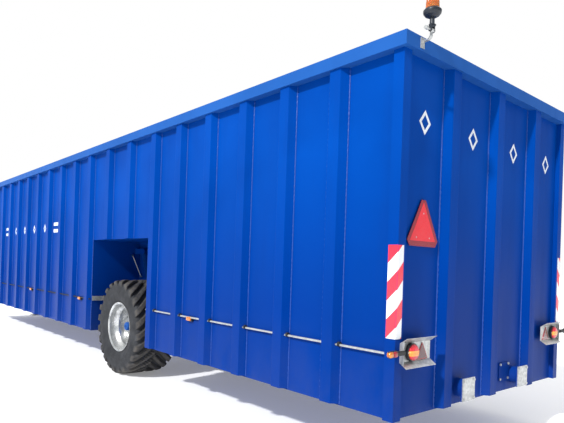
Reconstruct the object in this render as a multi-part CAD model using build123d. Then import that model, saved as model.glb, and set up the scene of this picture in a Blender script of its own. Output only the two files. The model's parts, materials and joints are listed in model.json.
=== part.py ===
from build123d import *
import math
import os

# Towed open-top buffer container on a lowerable swing axle.
# Millimetres. +X to the rear, +Y to the right, +Z up. The origin is on the ground,
# under the middle of the whole outline.
# Places are worked out in body terms: "run" forward from the rear rib faces, "across"
# rightward from the left rib faces, "rise" above the container's underside.

os.makedirs("parts", exist_ok=True)

# ---- container body ----
BODY_HEIGHT = 2900.0
BODY_WIDTH = 3050.0
GROUND_CLEARANCE = 520.0
PLATE = 5.0
RIB_DEPTH = 65.0
RIB_FACE = 118.0
RIB_FLANK = 50.0
RIB_LIFT = 12.0
RIB_CORNER = 8.0
END_BAY = 685.0
REAR_BAY = 621.0
WHEEL_BAY = 701.0
FRONT_BAY = 651.0
REAR_BAYS = 5
WHEEL_BAYS = 3
FRONT_BAYS = 10
END_RIB_INSET = 744.0
POST_SIZE = 95.0
POST_SETBACK = 20.0
POST_WALL = 6.0
RIM_HEIGHT = 110.0
RIM_OVERHANG = 20.0
RIM_SECTION = 120.0
RIM_WALL = 6.0
RIM_EDGE = 6.0
FLOOR_RISE = 50.0
FLOOR_PLATE = 6.0
BEARER_WIDTH = 60.0
TIE_HEIGHT = 100.0
TIE_WIDTH = 60.0
TIE_WALL = 5.0
TIE_DROP = 190.0
SILL_HEIGHT = 120.0

# ---- wheel wells ----
WELL_START = 115.0
WELL_LENGTH = 1873.0
WELL_HEIGHT = 1442.0
WELL_DEPTH = 880.0

# ---- wheels ----
TYRE_RADIUS = 685.0
TYRE_WIDTH = 640.0
TYRE_INSET = 65.0
TYRE_WALL = 32.0
BEAD_RADIUS = 336.5
RIM_FLANGE_RADIUS = 358.0
WHEEL_RIM_WIDTH = 580.0
WHEEL_DROP_RADIUS = 285.0
WHEEL_SHEET = 10.0
FLANGE_LIP = 12.0
DISC_THICKNESS = 14.0
DISC_INSET = 270.0
HUB_SPIGOT_RADIUS = 140.0
HUB_FLANGE_RADIUS = 190.0
HUB_FLANGE_THICKNESS = 20.0
STUD_CIRCLE_RADIUS = 167.5
STUD_COUNT = 10
NUT_RADIUS = 17.0
NUT_HEIGHT = 22.0
HUB_BARREL_RADIUS = 85.0
HUB_CAP_RADIUS = 62.0
HUB_CAP_INSET = 142.0
HUB_NECK_LENGTH = 103.0
HUB_TAIL_LENGTH = 220.0
SPINDLE_RADIUS = 45.0
BEARING_RADIUS = 65.0
BEARING_WIDTH = 38.0
TURN_GAP = 0.5

# ---- swing axle ----
PIVOT_AHEAD = 585.0
LIFT_TRAVEL = 520.0
SHAFT_RADIUS = 75.0
SLEEVE_WALL = 15.0
ARM_THICKNESS = 45.0
ARM_GAP = 20.0
ARM_PIVOT_RADIUS = 115.0
ARM_WHEEL_RADIUS = 95.0
LIFT_PIN_THROW = 250.0
LIFT_PIN_RADIUS = 22.0
LIFT_BOSS_RADIUS = 52.0

# ---- lift cylinders ----
CYLINDER_ACROSS = 825.0
CYLINDER_TOP_RUN = 278.0
CYLINDER_TOP_DROP = 150.0
BARREL_RADIUS = 48.0
BARREL_BORE = 40.0
BARREL_REACH = 560.0
ROD_RADIUS = 25.0
PISTON_LENGTH = 60.0
ROD_REACH = 477.0
TOP_PIN_RADIUS = 20.0
TOP_EYE_RADIUS = 42.0
EYE_WIDTH = 40.0
OPEN_PIVOT_SPARE = 1.5

# ---- drawbar and parking leg ----
DRAWBAR_LENGTH = 1350.0
DRAWBAR_PIVOT_OUT = 90.0
DRAWBAR_PIVOT_RISE = 60.0
DRAWBAR_SPREAD = 1000.0
DRAWBAR_HEIGHT = 120.0
DRAWBAR_WIDTH = 80.0
DRAWBAR_WALL = 8.0
DRAWBAR_PIN_RADIUS = 20.0
LUG_THICKNESS = 20.0
EYE_BORE = 25.0
EYE_RING_RADIUS = 62.5
EYE_THICKNESS = 45.0
LEG_SIZE = 140.0
LEG_WALL = 8.0
LEG_SLEEVE_WALL = 9.5
LEG_STAND_OFF = 80.0
LEG_SLEEVE_RISE = (90.0, 1300.0)
LEG_TOP_RISE = 600.0
FOOT_SIZE = 300.0
FOOT_THICKNESS = 20.0

# ---- rear fittings ----
OUTLET_FROM_RIB = 266.0
OUTLET_RISE = 138.0
OUTLET_RADIUS = 79.5
OUTLET_WALL = 5.0
OUTLET_REACH = 31.0
COVER_SIZE = 195.0
COVER_THICKNESS = 10.0
BOLT_INSET = 20.0
BOLT_RADIUS = 8.0
BOLT_HEAD_RADIUS = 12.5
BOLT_HEAD = 10.0
SUMP_COVER_OFFSET = 326.0
SUMP_COVER_RISE = 187.0
SUMP_COVER_SIZE = (190.0, 172.0)
BOX_START = 79.0
BOX_LENGTH = 402.0
BOX_RISE = (441.0, 587.0)
BOX_FLARE = 58.0
BOX_SPREAD = 40.0
SHEET = 3.0
LAMP_OFFSET = 133.0
LAMP_RADIUS = 70.0
LAMP_DEPTH = 55.0
REFLECTOR_OFFSET = 286.0
REFLECTOR_SIDE = 160.0
MARKER_REACH = 98.0
MARKER_HEIGHT = 52.0
MARKER_DEPTH = 44.0
STRIP_RISE = (620.0, 1322.0)
STRIP_WIDTH = (87.0, 70.0)
STRIP_THICKNESS = 2.0
SIGN_ACROSS = 382.0
SIGN_RISE = 1325.0
SIGN_BASE = 422.0
SIGN_HEIGHT = 366.0
SIGN_CLIP = 34.0
SIGN_OFF = 12.0

# ---- cable run and side lamps ----
CONDUIT_RISE = 502.0
CONDUIT_ACROSS = 35.0
CONDUIT_RADIUS = 10.0
CONDUIT_HOLE = 13.0
GROMMET_RADIUS = 20.0
GROMMET_LENGTH = 20.0
GROMMET_LIFT = 7.0
SIDE_LAMP_DROP = 18.0
SIDE_LAMP_SIZE = (110.0, 48.0, 58.0)
SIDE_LAMP_CORNER = 10.0
CHANNEL_RISE = (478.0, 548.0)
CHANNEL_DEPTH = 40.0
CHANNEL_WALL = 4.0
LINE_RADIUS = 8.0
LINE_UNION_RADIUS = 16.0
LINE_UNION_LENGTH = 30.0
LINE_FRONT_ACROSS = 742.0
LINE_FRONT_DROP = 220.0
LINE_INNER_DROP = 570.0
LINE_INNER_RUN = 100.0

# ---- warning beacon ----
BEACON_ACROSS = 180.0
BEACON_OUT = 97.0
BEACON_HINGE_ABOVE_RIM = 20.0
BEACON_KNUCKLE_RADIUS = 14.0
BEACON_BOLT_RADIUS = 6.0
BEACON_ARM_WIDTH = 30.0
BEACON_ARM_SHEET = 6.0
BEACON_PLATE_WIDTH = 48.0
BEACON_PLATE_DROP = (14.0, 92.0)
BEACON_PLATE_BEND = 30.0
BEACON_STEM_RADIUS = 19.0
BEACON_STEM_LENGTH = 52.0
BEACON_CUP_RADIUS = 66.5
BEACON_CUP_HEIGHT = 68.0
BEACON_CUP_SHOULDER = 14.0
BEACON_LENS_RADIUS = 50.0
BEACON_LENS_HEIGHT = 118.0
BEACON_LENS_SEAT = 12.0
BEACON_LENS_WALL = 3.0

# ---- worked out from the values above ----
body_length = (2 * END_BAY + REAR_BAYS * REAR_BAY + WHEEL_BAYS * WHEEL_BAY
               + FRONT_BAYS * FRONT_BAY)
half_width = BODY_WIDTH / 2
wall_top = BODY_HEIGHT - RIM_HEIGHT
panel_in = RIB_DEPTH + PLATE
rear_overhang = BEACON_OUT + BEACON_CUP_RADIUS
eye_run = body_length + DRAWBAR_PIVOT_OUT + DRAWBAR_LENGTH
front_overhang = eye_run + EYE_RING_RADIUS - body_length
rear_x = (body_length + front_overhang + rear_overhang) / 2 - rear_overhang

rear_ribs_side = [END_BAY + i * REAR_BAY for i in range(REAR_BAYS + 1)]
arch_ribs_side = [rear_ribs_side[-1] + i * WHEEL_BAY for i in range(1, WHEEL_BAYS)]
front_rib_start = rear_ribs_side[-1] + WHEEL_BAYS * WHEEL_BAY
front_ribs_side = [front_rib_start + i * FRONT_BAY for i in range(FRONT_BAYS + 1)]

well_rear = rear_ribs_side[-1] + WELL_START
well_front = well_rear + WELL_LENGTH
wheel_run = (well_rear + well_front) / 2
wheel_rise = TYRE_RADIUS - GROUND_CLEARANCE
pivot_run = wheel_run + PIVOT_AHEAD
pivot_rise = wheel_rise + LIFT_TRAVEL / 2
arm_length = math.hypot(PIVOT_AHEAD, LIFT_TRAVEL / 2)
lift_angle = 2 * math.asin(LIFT_TRAVEL / 2 / arm_length)
wheel_across = TYRE_INSET + TYRE_WIDTH / 2
arm_across = TYRE_INSET + TYRE_WIDTH + ARM_GAP
arm_inner = arm_across + ARM_THICKNESS


def spot(run, across, rise):
    """A place in body terms as a point in the model's frame."""
    return Vector(rear_x - run, across - half_width, rise + GROUND_CLEARANCE)


def block(run, across, rise):
    """A rectangular solid between two values in each body direction."""
    low = spot(run[1], across[0], rise[0])
    high = spot(run[0], across[1], rise[1])
    size = high - low
    return Pos((low + high) * 0.5) * Box(size.X, size.Y, size.Z)


def square_tube(run, across, rise, wall, along):
    """A box tube, open at both ends of the named direction."""
    spans = {"run": run, "across": across, "rise": rise}
    inner = {name: (low + wall, high - wall) for name, (low, high) in spans.items()}
    inner[along] = (spans[along][0] - 1, spans[along][1] + 1)
    return block(**spans) - block(**inner)


def side_plate(outline, across):
    """An outline of (run, rise) points, as thick as the across span."""
    points = [(rear_x - run, rise + GROUND_CLEARANCE) for run, rise in outline]
    plane = Plane(origin=(0, across[1] - half_width, 0), x_dir=(1, 0, 0), z_dir=(0, -1, 0))
    return extrude(plane * Polygon(*points, align=None), across[1] - across[0], dir=(0, -1, 0))


def plan_plate(outline, rise, corners=(), radius=0.0):
    """An outline of (run, across) points, as tall as the rise span."""
    points = [(rear_x - run, across - half_width) for run, across in outline]
    face = Polygon(*points, align=None)
    if corners:
        wanted = [points[i] for i in corners]
        near = [v for v in face.vertices()
                if min(math.dist((v.X, v.Y), p) for p in wanted) < 0.01]
        face = fillet(near, radius)
    placed = Pos(0, 0, rise[0] + GROUND_CLEARANCE) * face
    return extrude(placed, rise[1] - rise[0], dir=(0, 0, 1))


def cross_bar(run, rise, radius, across):
    """A round bar lying across the container."""
    middle = spot(run, (across[0] + across[1]) / 2, rise)
    return Pos(middle) * Rot(90, 0, 0) * Cylinder(radius, across[1] - across[0])


def long_bar(across, rise, radius, run):
    """A round bar lying along the container."""
    middle = spot((run[0] + run[1]) / 2, across, rise)
    return Pos(middle) * Rot(0, 90, 0) * Cylinder(radius, run[1] - run[0])


def rod_between(start, end, radius):
    """A round bar from one point of the frame to another."""
    way = end - start
    plane = Plane(origin=start, z_dir=way.normalized())
    return extrude(plane * Circle(radius), way.length)


def other_side(shape):
    """The same piece on the right-hand side."""
    return mirror(shape, about=Plane.XZ)


def both_sides(shapes):
    """A group of pieces and their right-hand twins."""
    return list(shapes) + [other_side(shape) for shape in shapes]


def save(name, *shapes):
    """Write one node, as one solid or a group of separate solids."""
    solids = [solid for shape in shapes for solid in shape.solids()]
    whole = solids[0] if len(solids) == 1 else Compound(children=solids)
    whole.label = name
    export_step(whole, f"parts/{name}.step")


def rib_halves():
    """Half widths of the folded rib: outside at the plate and face, inside at both."""
    slant = PLATE * math.hypot(RIB_FLANK, RIB_DEPTH) / RIB_DEPTH
    base = RIB_FACE / 2 + RIB_FLANK
    inner_face = RIB_FACE / 2 + RIB_FLANK * PLATE / RIB_DEPTH - slant
    return base, RIB_FACE / 2, base - slant, inner_face


def side_rib(run, rise):
    """A folded rib on the left wall, with holes for the cable run when it reaches it."""
    base, face, inner_base, inner_face = rib_halves()
    outer = [(run - base, RIB_DEPTH), (run - face, 0), (run + face, 0), (run + base, RIB_DEPTH)]
    inner = [(run - inner_base, RIB_DEPTH), (run - inner_face, PLATE),
             (run + inner_face, PLATE), (run + inner_base, RIB_DEPTH)]
    rib = plan_plate(outer, rise, (1, 2), RIB_CORNER) - plan_plate(inner, rise)
    if rise[0] < CONDUIT_RISE:
        rib -= long_bar(CONDUIT_ACROSS, CONDUIT_RISE, CONDUIT_HOLE, (run - base, run + base))
    return rib


def end_rib(across, rise, front):
    """A folded rib on the rear or the front wall."""
    base, face, inner_base, inner_face = rib_halves()
    steps = [(RIB_DEPTH, -base), (0, -face), (0, face), (RIB_DEPTH, base)]
    inner_steps = [(RIB_DEPTH, -inner_base), (PLATE, -inner_face),
                   (PLATE, inner_face), (RIB_DEPTH, inner_base)]

    def placed(points):
        return [(body_length - depth if front else depth, across + side) for depth, side in points]

    return plan_plate(placed(steps), rise, (1, 2), RIB_CORNER) - plan_plate(placed(inner_steps), rise)


# ---- floor, in three bays, each with the bearers under it ----
post_in = POST_SETBACK + POST_SIZE


def floor_bay(run, across, bearer_runs):
    """A floor plate with cross bearers under it."""
    plate = block(run, across, (FLOOR_RISE, FLOOR_RISE + FLOOR_PLATE))
    bearers = [block((place - BEARER_WIDTH / 2, place + BEARER_WIDTH / 2), across,
                     (0, FLOOR_RISE)) for place in bearer_runs]
    return [plate] + bearers


floor_across = (panel_in, BODY_WIDTH - panel_in)
middle_across = (WELL_DEPTH + PLATE, BODY_WIDTH - WELL_DEPTH - PLATE)
save("floor_rear", *floor_bay((post_in, well_rear - PLATE), floor_across, rear_ribs_side))
save("floor_middle", *floor_bay((well_rear - PLATE, well_front + PLATE), middle_across,
                                arch_ribs_side))
save("floor_front", *floor_bay((well_front + PLATE, body_length - post_in), floor_across,
                               front_ribs_side))

# ---- walls, each a flat plate with its folded ribs ----
end_rib_places = [END_RIB_INSET, half_width, BODY_WIDTH - END_RIB_INSET]
outlet_places = [end_rib_places[0] + OUTLET_FROM_RIB, end_rib_places[2] - OUTLET_FROM_RIB]
rear_plate = block((RIB_DEPTH, panel_in), (post_in, BODY_WIDTH - post_in), (0, wall_top))
for place in outlet_places:
    rear_plate -= long_bar(place, OUTLET_RISE, OUTLET_RADIUS, (RIB_DEPTH - 1, panel_in + 1))
rear_ribs = [end_rib(place, (RIB_LIFT, wall_top), False) for place in end_rib_places]
save("rear_wall", rear_plate, *rear_ribs)

front_plate = block((body_length - panel_in, body_length - RIB_DEPTH),
                    (post_in, BODY_WIDTH - post_in), (0, wall_top))
front_ribs = [end_rib(place, (SILL_HEIGHT, wall_top), True) for place in end_rib_places]
front_sill = block((body_length - RIB_DEPTH, body_length), (post_in, BODY_WIDTH - post_in),
                   (0, SILL_HEIGHT))

drawbar_run = body_length + DRAWBAR_PIVOT_OUT
drawbar_places = [half_width - DRAWBAR_SPREAD / 2, half_width + DRAWBAR_SPREAD / 2]
lug_gap = DRAWBAR_WIDTH / 2 + 1.0
drawbar_lugs = []
for place in drawbar_places:
    for side in (-1, 1):
        near = place + side * lug_gap
        far = near + side * LUG_THICKNESS
        span = (min(near, far), max(near, far))
        lug = block((body_length, drawbar_run), span, (5, SILL_HEIGHT - 5))
        lug += cross_bar(drawbar_run, DRAWBAR_PIVOT_RISE, 50, span)
        lug -= cross_bar(drawbar_run, DRAWBAR_PIVOT_RISE, DRAWBAR_PIN_RADIUS, span)
        drawbar_lugs.append(lug)
drawbar_pins = [cross_bar(drawbar_run, DRAWBAR_PIVOT_RISE, DRAWBAR_PIN_RADIUS,
                          (place - lug_gap - LUG_THICKNESS, place + lug_gap + LUG_THICKNESS))
                for place in drawbar_places]
save("front_wall", front_plate, front_sill, *front_ribs, *drawbar_lugs, *drawbar_pins)

panel_across = (RIB_DEPTH, panel_in)
wall_parts = {
    "rear": [block((post_in, well_rear), panel_across, (0, wall_top))]
    + [side_rib(run, (RIB_LIFT, wall_top)) for run in rear_ribs_side],
    "arch": [block((well_rear, well_front), panel_across, (WELL_HEIGHT, wall_top))]
    + [side_rib(run, (WELL_HEIGHT, wall_top)) for run in arch_ribs_side],
    "front": [block((well_front, body_length - post_in), panel_across, (0, wall_top))]
    + [side_rib(run, (RIB_LIFT, wall_top)) for run in front_ribs_side],
}
for part_name, shapes in wall_parts.items():
    save(f"side_wall_left_{part_name}", *shapes)
    save(f"side_wall_right_{part_name}", *[other_side(shape) for shape in shapes])

# ---- corner posts and the rim rail ----
for end_name, start in (("rear", POST_SETBACK), ("front", body_length - post_in)):
    post = square_tube((start, start + POST_SIZE), (POST_SETBACK, post_in), (0, wall_top),
                       POST_WALL, "rise")
    save(f"corner_post_{end_name}_left", post)
    save(f"corner_post_{end_name}_right", other_side(post))


def rim_ring(inset_out, inset_in, rise):
    """A rectangular ring round the top, from one inset to another."""
    outer = block((inset_out, body_length - inset_out), (inset_out, BODY_WIDTH - inset_out), rise)
    inner = block((inset_in, body_length - inset_in), (inset_in, BODY_WIDTH - inset_in),
                  (rise[0] - 1, rise[1] + 1))
    return outer - inner


rim_in = RIM_SECTION - RIM_OVERHANG
rim_rail = rim_ring(-RIM_OVERHANG, rim_in, (wall_top, BODY_HEIGHT))
top_edges = rim_rail.edges().group_by(Axis.Z)[-1]
rim_rail = fillet(top_edges, RIM_EDGE)
rim_rail -= rim_ring(-RIM_OVERHANG + RIM_WALL, rim_in - RIM_WALL,
                     (wall_top + RIM_WALL, BODY_HEIGHT - RIM_WALL))
vent = spot(half_width, rim_in - RIM_WALL / 2, wall_top + RIM_HEIGHT / 2)
rim_rail -= Pos(vent) * Rot(90, 0, 0) * Cylinder(10, RIM_WALL * 3)
save("rim_rail", rim_rail)

# ---- cross ties between the long walls ----
tie_rise = (wall_top - TIE_DROP, wall_top - TIE_DROP + TIE_HEIGHT)
for tie_name, place in (("rear", rear_ribs_side[3]), ("middle", front_ribs_side[0]),
                        ("front", front_ribs_side[5])):
    tie = square_tube((place - TIE_WIDTH / 2, place + TIE_WIDTH / 2), floor_across, tie_rise,
                      TIE_WALL, "across")
    save(f"cross_tie_{tie_name}", tie)

# ---- swing axle: where its lift pin and its cylinder go ----
sleeve_radius = SHAFT_RADIUS + TURN_GAP + SLEEVE_WALL
top_run = well_front - CYLINDER_TOP_RUN
top_rise = WELL_HEIGHT - CYLINDER_TOP_DROP


def lift_pin(turn):
    """Run and rise of the lift pin when the arms have swung up by an angle."""
    return (pivot_run - LIFT_PIN_THROW * math.cos(turn),
            pivot_rise + LIFT_PIN_THROW * math.sin(turn))


def cylinder_line(pin):
    """Length and lean of the line from a pin up to the cylinder's top pivot."""
    ahead = top_run - pin[0]
    above = top_rise - pin[1]
    return math.hypot(ahead, above), math.atan2(ahead, above)


pin_rest = lift_pin(0)
rest_length, rest_lean = cylinder_line(pin_rest)
full_length, full_lean = cylinder_line(lift_pin(lift_angle))
lift_stroke = rest_length - full_length
stroke_ratio = lift_stroke / lift_angle
lean_ratio = (full_lean - rest_lean) / lift_angle


def eye_drift(turn, start):
    """How far the rod's eye is from the pin, when both couplings are straight lines."""
    pin = lift_pin(turn)
    reach = math.hypot(top_run - start[0], top_rise - start[1]) - stroke_ratio * turn
    lean = math.atan2(top_run - start[0], top_rise - start[1]) + lean_ratio * turn
    eye = (top_run - reach * math.sin(lean), top_rise - reach * math.cos(lean))
    return (pin[0] - eye[0], pin[1] - eye[1])


half_drift = [value / 2 for value in eye_drift(lift_angle / 2, pin_rest)]
eye_start = (pin_rest[0] + half_drift[0], pin_rest[1] + half_drift[1])
drifts = [math.hypot(*eye_drift(lift_angle * i / 24, eye_start)) for i in range(25)]
eye_hole = LIFT_PIN_RADIUS + max(drifts) + OPEN_PIVOT_SPARE
eye_ring = eye_hole + 20.0
eye_length, eye_lean = cylinder_line(eye_start)


def along_cylinder(distance):
    """The run and rise of a place on the cylinder's line, down from its top pivot."""
    return (top_run - distance * math.sin(eye_lean), top_rise - distance * math.cos(eye_lean))


def cylinder_piece(start, end, radius):
    """A round piece on the cylinder's line between two distances from the top pivot."""
    first = along_cylinder(start)
    last = along_cylinder(end)
    return rod_between(spot(first[0], CYLINDER_ACROSS, first[1]),
                       spot(last[0], CYLINDER_ACROSS, last[1]), radius)


# ---- wheel wells, with the cylinder's top lugs ----
eye_span = (CYLINDER_ACROSS - EYE_WIDTH / 2, CYLINDER_ACROSS + EYE_WIDTH / 2)
well_rise = (0, WELL_HEIGHT + PLATE)
well_inner = block((well_rear - PLATE, well_front + PLATE), (WELL_DEPTH, WELL_DEPTH + PLATE),
                   well_rise)
well_inner -= cross_bar(pivot_run, pivot_rise, sleeve_radius,
                        (WELL_DEPTH - 1, WELL_DEPTH + PLATE + 1))
well_skin = [
    block((well_rear - PLATE, well_rear), (panel_in, WELL_DEPTH), well_rise),
    block((well_front, well_front + PLATE), (panel_in, WELL_DEPTH), well_rise),
    block((well_rear, well_front), (panel_in, WELL_DEPTH), (WELL_HEIGHT, WELL_HEIGHT + PLATE)),
    well_inner,
]
top_lugs = []
for span in ((eye_span[0] - 15, eye_span[0] - 1), (eye_span[1] + 1, eye_span[1] + 15)):
    lug = block((top_run, well_front), span, (top_rise - 45, top_rise + 45))
    lug += cross_bar(top_run, top_rise, 45, span)
    lug -= cross_bar(top_run, top_rise, TOP_PIN_RADIUS, span)
    top_lugs.append(lug)
top_pin = cross_bar(top_run, top_rise, TOP_PIN_RADIUS, (eye_span[0] - 20, eye_span[1] + 20))
well_shapes = well_skin + top_lugs + [top_pin]
save("wheel_well_left", *well_shapes)
save("wheel_well_right", *[other_side(shape) for shape in well_shapes])

sleeve_across = (WELL_DEPTH - 6, BODY_WIDTH - WELL_DEPTH + 6)
pivot_sleeve = cross_bar(pivot_run, pivot_rise, sleeve_radius, sleeve_across)
pivot_sleeve -= cross_bar(pivot_run, pivot_rise, SHAFT_RADIUS + TURN_GAP,
                          (sleeve_across[0] - 1, sleeve_across[1] + 1))
save("pivot_sleeve", pivot_sleeve)

# ---- swing axle: torque shaft, arms with their spindles, bearings ----
shaft_across = (arm_across, BODY_WIDTH - arm_across)
save("torque_shaft", cross_bar(pivot_run, pivot_rise, SHAFT_RADIUS, shaft_across))


def tangent_strap(start, start_radius, end, end_radius):
    """Four corners where straight edges meet two circles, for a tapered arm."""
    way = math.atan2(end[1] - start[1], end[0] - start[0])
    span = math.dist(start, end)
    spread = math.acos((start_radius - end_radius) / span)
    corners = []
    for centre, radius, side in ((start, start_radius, 1), (end, end_radius, 1),
                                 (end, end_radius, -1), (start, start_radius, -1)):
        corners.append((centre[0] + radius * math.cos(way + side * spread),
                        centre[1] + radius * math.sin(way + side * spread)))
    return corners


arm_span = (arm_across, arm_inner)
pivot_place = (pivot_run, pivot_rise)
wheel_place = (wheel_run, wheel_rise)
arm = side_plate(tangent_strap(pivot_place, ARM_PIVOT_RADIUS, wheel_place, ARM_WHEEL_RADIUS),
                 arm_span)
arm += cross_bar(pivot_run, pivot_rise, ARM_PIVOT_RADIUS, arm_span)
arm += cross_bar(wheel_run, wheel_rise, ARM_WHEEL_RADIUS, arm_span)
arm += side_plate(tangent_strap(pivot_place, ARM_PIVOT_RADIUS, pin_rest, LIFT_BOSS_RADIUS),
                  arm_span)
arm += cross_bar(pin_rest[0], pin_rest[1], LIFT_BOSS_RADIUS, arm_span)
arm -= cross_bar(pivot_run, pivot_rise, SHAFT_RADIUS, arm_span)
arm -= cross_bar(wheel_run, wheel_rise, SPINDLE_RADIUS, arm_span)
arm -= cross_bar(pin_rest[0], pin_rest[1], LIFT_PIN_RADIUS, arm_span)
cap_across = TYRE_INSET + HUB_CAP_INSET
spindle_start = cap_across + HUB_NECK_LENGTH - 10
spindle = cross_bar(wheel_run, wheel_rise, SPINDLE_RADIUS, (spindle_start, arm_inner))
lift_pin_bar = cross_bar(pin_rest[0], pin_rest[1], LIFT_PIN_RADIUS,
                         (arm_across, eye_span[1] + 4))
save("swing_arm_left", arm, spindle, lift_pin_bar)
save("swing_arm_right", *[other_side(shape) for shape in (arm, spindle, lift_pin_bar)])

hub_back = TYRE_INSET + DISC_INSET + DISC_THICKNESS + HUB_TAIL_LENGTH
bearing_places = [(spindle_start + 25, spindle_start + 25 + BEARING_WIDTH),
                  (hub_back - 20 - BEARING_WIDTH, hub_back - 20)]
bearings = [cross_bar(wheel_run, wheel_rise, BEARING_RADIUS, span)
            - cross_bar(wheel_run, wheel_rise, SPINDLE_RADIUS, span) for span in bearing_places]
save("wheel_bearings", *both_sides(bearings))


# ---- wheels ----
def turned(outline):
    """A ring or disc turned about the wheel's axle from (radius, across) points."""
    plane = Plane(origin=spot(wheel_run, 0, wheel_rise), x_dir=(0, 0, 1), z_dir=(-1, 0, 0))
    points = [(radius, across) for radius, across in outline]
    return revolve(plane * Polygon(*points, align=None), Axis(plane.origin, (0, 1, 0)))


rim_out = wheel_across - WHEEL_RIM_WIDTH / 2
rim_back = wheel_across + WHEEL_RIM_WIDTH / 2


def tyre_outline(offset):
    """Half the tyre's outside, from bead to crown, moved inward by an offset."""
    side = TYRE_INSET + offset
    seat = rim_out + FLANGE_LIP + 4 + offset * 0.6
    return [(BEAD_RADIUS + 0.5, seat), (RIM_FLANGE_RADIUS + 2, seat),
            (RIM_FLANGE_RADIUS + 24 + offset * 0.2, rim_out - 2 + offset),
            (BEAD_RADIUS + 100, side + 8), (BEAD_RADIUS + 160, side),
            (TYRE_RADIUS - 110, side + 4), (TYRE_RADIUS - 55 - offset * 0.5, side + 22),
            (TYRE_RADIUS - 14 - offset, side + 70), (TYRE_RADIUS - offset, side + 150)]


def mirrored_half(points):
    """A half outline followed by its twin on the other side of the wheel's middle."""
    return points + [(radius, 2 * wheel_across - across) for radius, across in reversed(points)]


tyre = turned(mirrored_half(tyre_outline(0)) + list(reversed(mirrored_half(tyre_outline(TYRE_WALL)))))


outer_half = [(BEAD_RADIUS - 6, rim_out), (RIM_FLANGE_RADIUS, rim_out),
              (RIM_FLANGE_RADIUS, rim_out + FLANGE_LIP), (BEAD_RADIUS, rim_out + FLANGE_LIP + 3),
              (BEAD_RADIUS - 4, rim_out + 75), (WHEEL_DROP_RADIUS, rim_out + 130)]
inner_half = [(BEAD_RADIUS - 6, rim_out), (BEAD_RADIUS - WHEEL_SHEET, rim_out + FLANGE_LIP),
              (BEAD_RADIUS - 4 - WHEEL_SHEET, rim_out + 72),
              (WHEEL_DROP_RADIUS - WHEEL_SHEET, rim_out + 127)]
wheel_rim = turned(mirrored_half(outer_half) + list(reversed(mirrored_half(inner_half)))[1:-1])
disc_across = (TYRE_INSET + DISC_INSET, TYRE_INSET + DISC_INSET + DISC_THICKNESS)
disc = cross_bar(wheel_run, wheel_rise, WHEEL_DROP_RADIUS - WHEEL_SHEET, disc_across)
disc -= cross_bar(wheel_run, wheel_rise, HUB_SPIGOT_RADIUS, disc_across)

hub_flange = (disc_across[1], disc_across[1] + HUB_FLANGE_THICKNESS)
hub = turned([(0, cap_across), (HUB_CAP_RADIUS - 8, cap_across), (HUB_CAP_RADIUS, cap_across + 8),
              (HUB_CAP_RADIUS, cap_across + HUB_NECK_LENGTH - 7),
              (HUB_BARREL_RADIUS, cap_across + HUB_NECK_LENGTH),
              (HUB_BARREL_RADIUS, disc_across[0] - 10), (HUB_SPIGOT_RADIUS - 12, disc_across[0] - 6),
              (HUB_SPIGOT_RADIUS - TURN_GAP, disc_across[0]),
              (HUB_SPIGOT_RADIUS - TURN_GAP, hub_flange[0]),
              (HUB_FLANGE_RADIUS, hub_flange[0]), (HUB_FLANGE_RADIUS, hub_flange[1]),
              (HUB_BARREL_RADIUS, hub_flange[1] + 30), (HUB_BARREL_RADIUS, hub_back),
              (BEARING_RADIUS + TURN_GAP, hub_back), (BEARING_RADIUS + TURN_GAP, spindle_start + 20),
              (SPINDLE_RADIUS, spindle_start - 20), (0, spindle_start - 20)])
nuts = []
for i in range(STUD_COUNT):
    turn = 2 * math.pi * i / STUD_COUNT
    run = wheel_run + STUD_CIRCLE_RADIUS * math.cos(turn)
    rise = wheel_rise + STUD_CIRCLE_RADIUS * math.sin(turn)
    middle = spot(run, disc_across[0] - NUT_HEIGHT / 2, rise)
    nut_plane = Plane(origin=middle, z_dir=(0, 1, 0))
    nuts.append(extrude(nut_plane * RegularPolygon(NUT_RADIUS, 6), NUT_HEIGHT / 2, both=True))
for side, place in (("left", lambda shape: shape), ("right", other_side)):
    save(f"tyre_{side}", place(tyre))
    save(f"wheel_rim_{side}", place(wheel_rim), place(disc))
    save(f"wheel_hub_{side}", place(hub), *[place(nut) for nut in nuts])

# ---- lift cylinders ----
barrel_top = TOP_EYE_RADIUS + 14
barrel = cylinder_piece(barrel_top, BARREL_REACH, BARREL_RADIUS)
barrel -= cylinder_piece(barrel_top + 30, BARREL_REACH - 25, BARREL_BORE)
barrel -= cylinder_piece(BARREL_REACH - 30, BARREL_REACH + 1, ROD_RADIUS + TURN_GAP)
barrel += cylinder_piece(TOP_PIN_RADIUS + 5, barrel_top + 1, EYE_WIDTH / 2 - 1)
barrel += cross_bar(top_run, top_rise, TOP_EYE_RADIUS, eye_span)
barrel -= cross_bar(top_run, top_rise, TOP_PIN_RADIUS + TURN_GAP, eye_span)
rod = cylinder_piece(eye_length - ROD_REACH + PISTON_LENGTH, eye_length - eye_hole - 6, ROD_RADIUS)
rod += cylinder_piece(eye_length - ROD_REACH, eye_length - ROD_REACH + PISTON_LENGTH,
                      BARREL_BORE - TURN_GAP)
rod_eye = cross_bar(eye_start[0], eye_start[1], eye_ring, eye_span)
rod += rod_eye
rod -= cross_bar(eye_start[0], eye_start[1], eye_hole, (eye_span[0] - 1, eye_span[1] + 1))
for side, place in (("left", lambda shape: shape), ("right", other_side)):
    save(f"lift_barrel_{side}", place(barrel))
    save(f"lift_rod_{side}", place(rod))

# ---- outlets and sump cover ----
outlet_pipes = []
outlet_covers = []
cover_bolts = []


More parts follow.
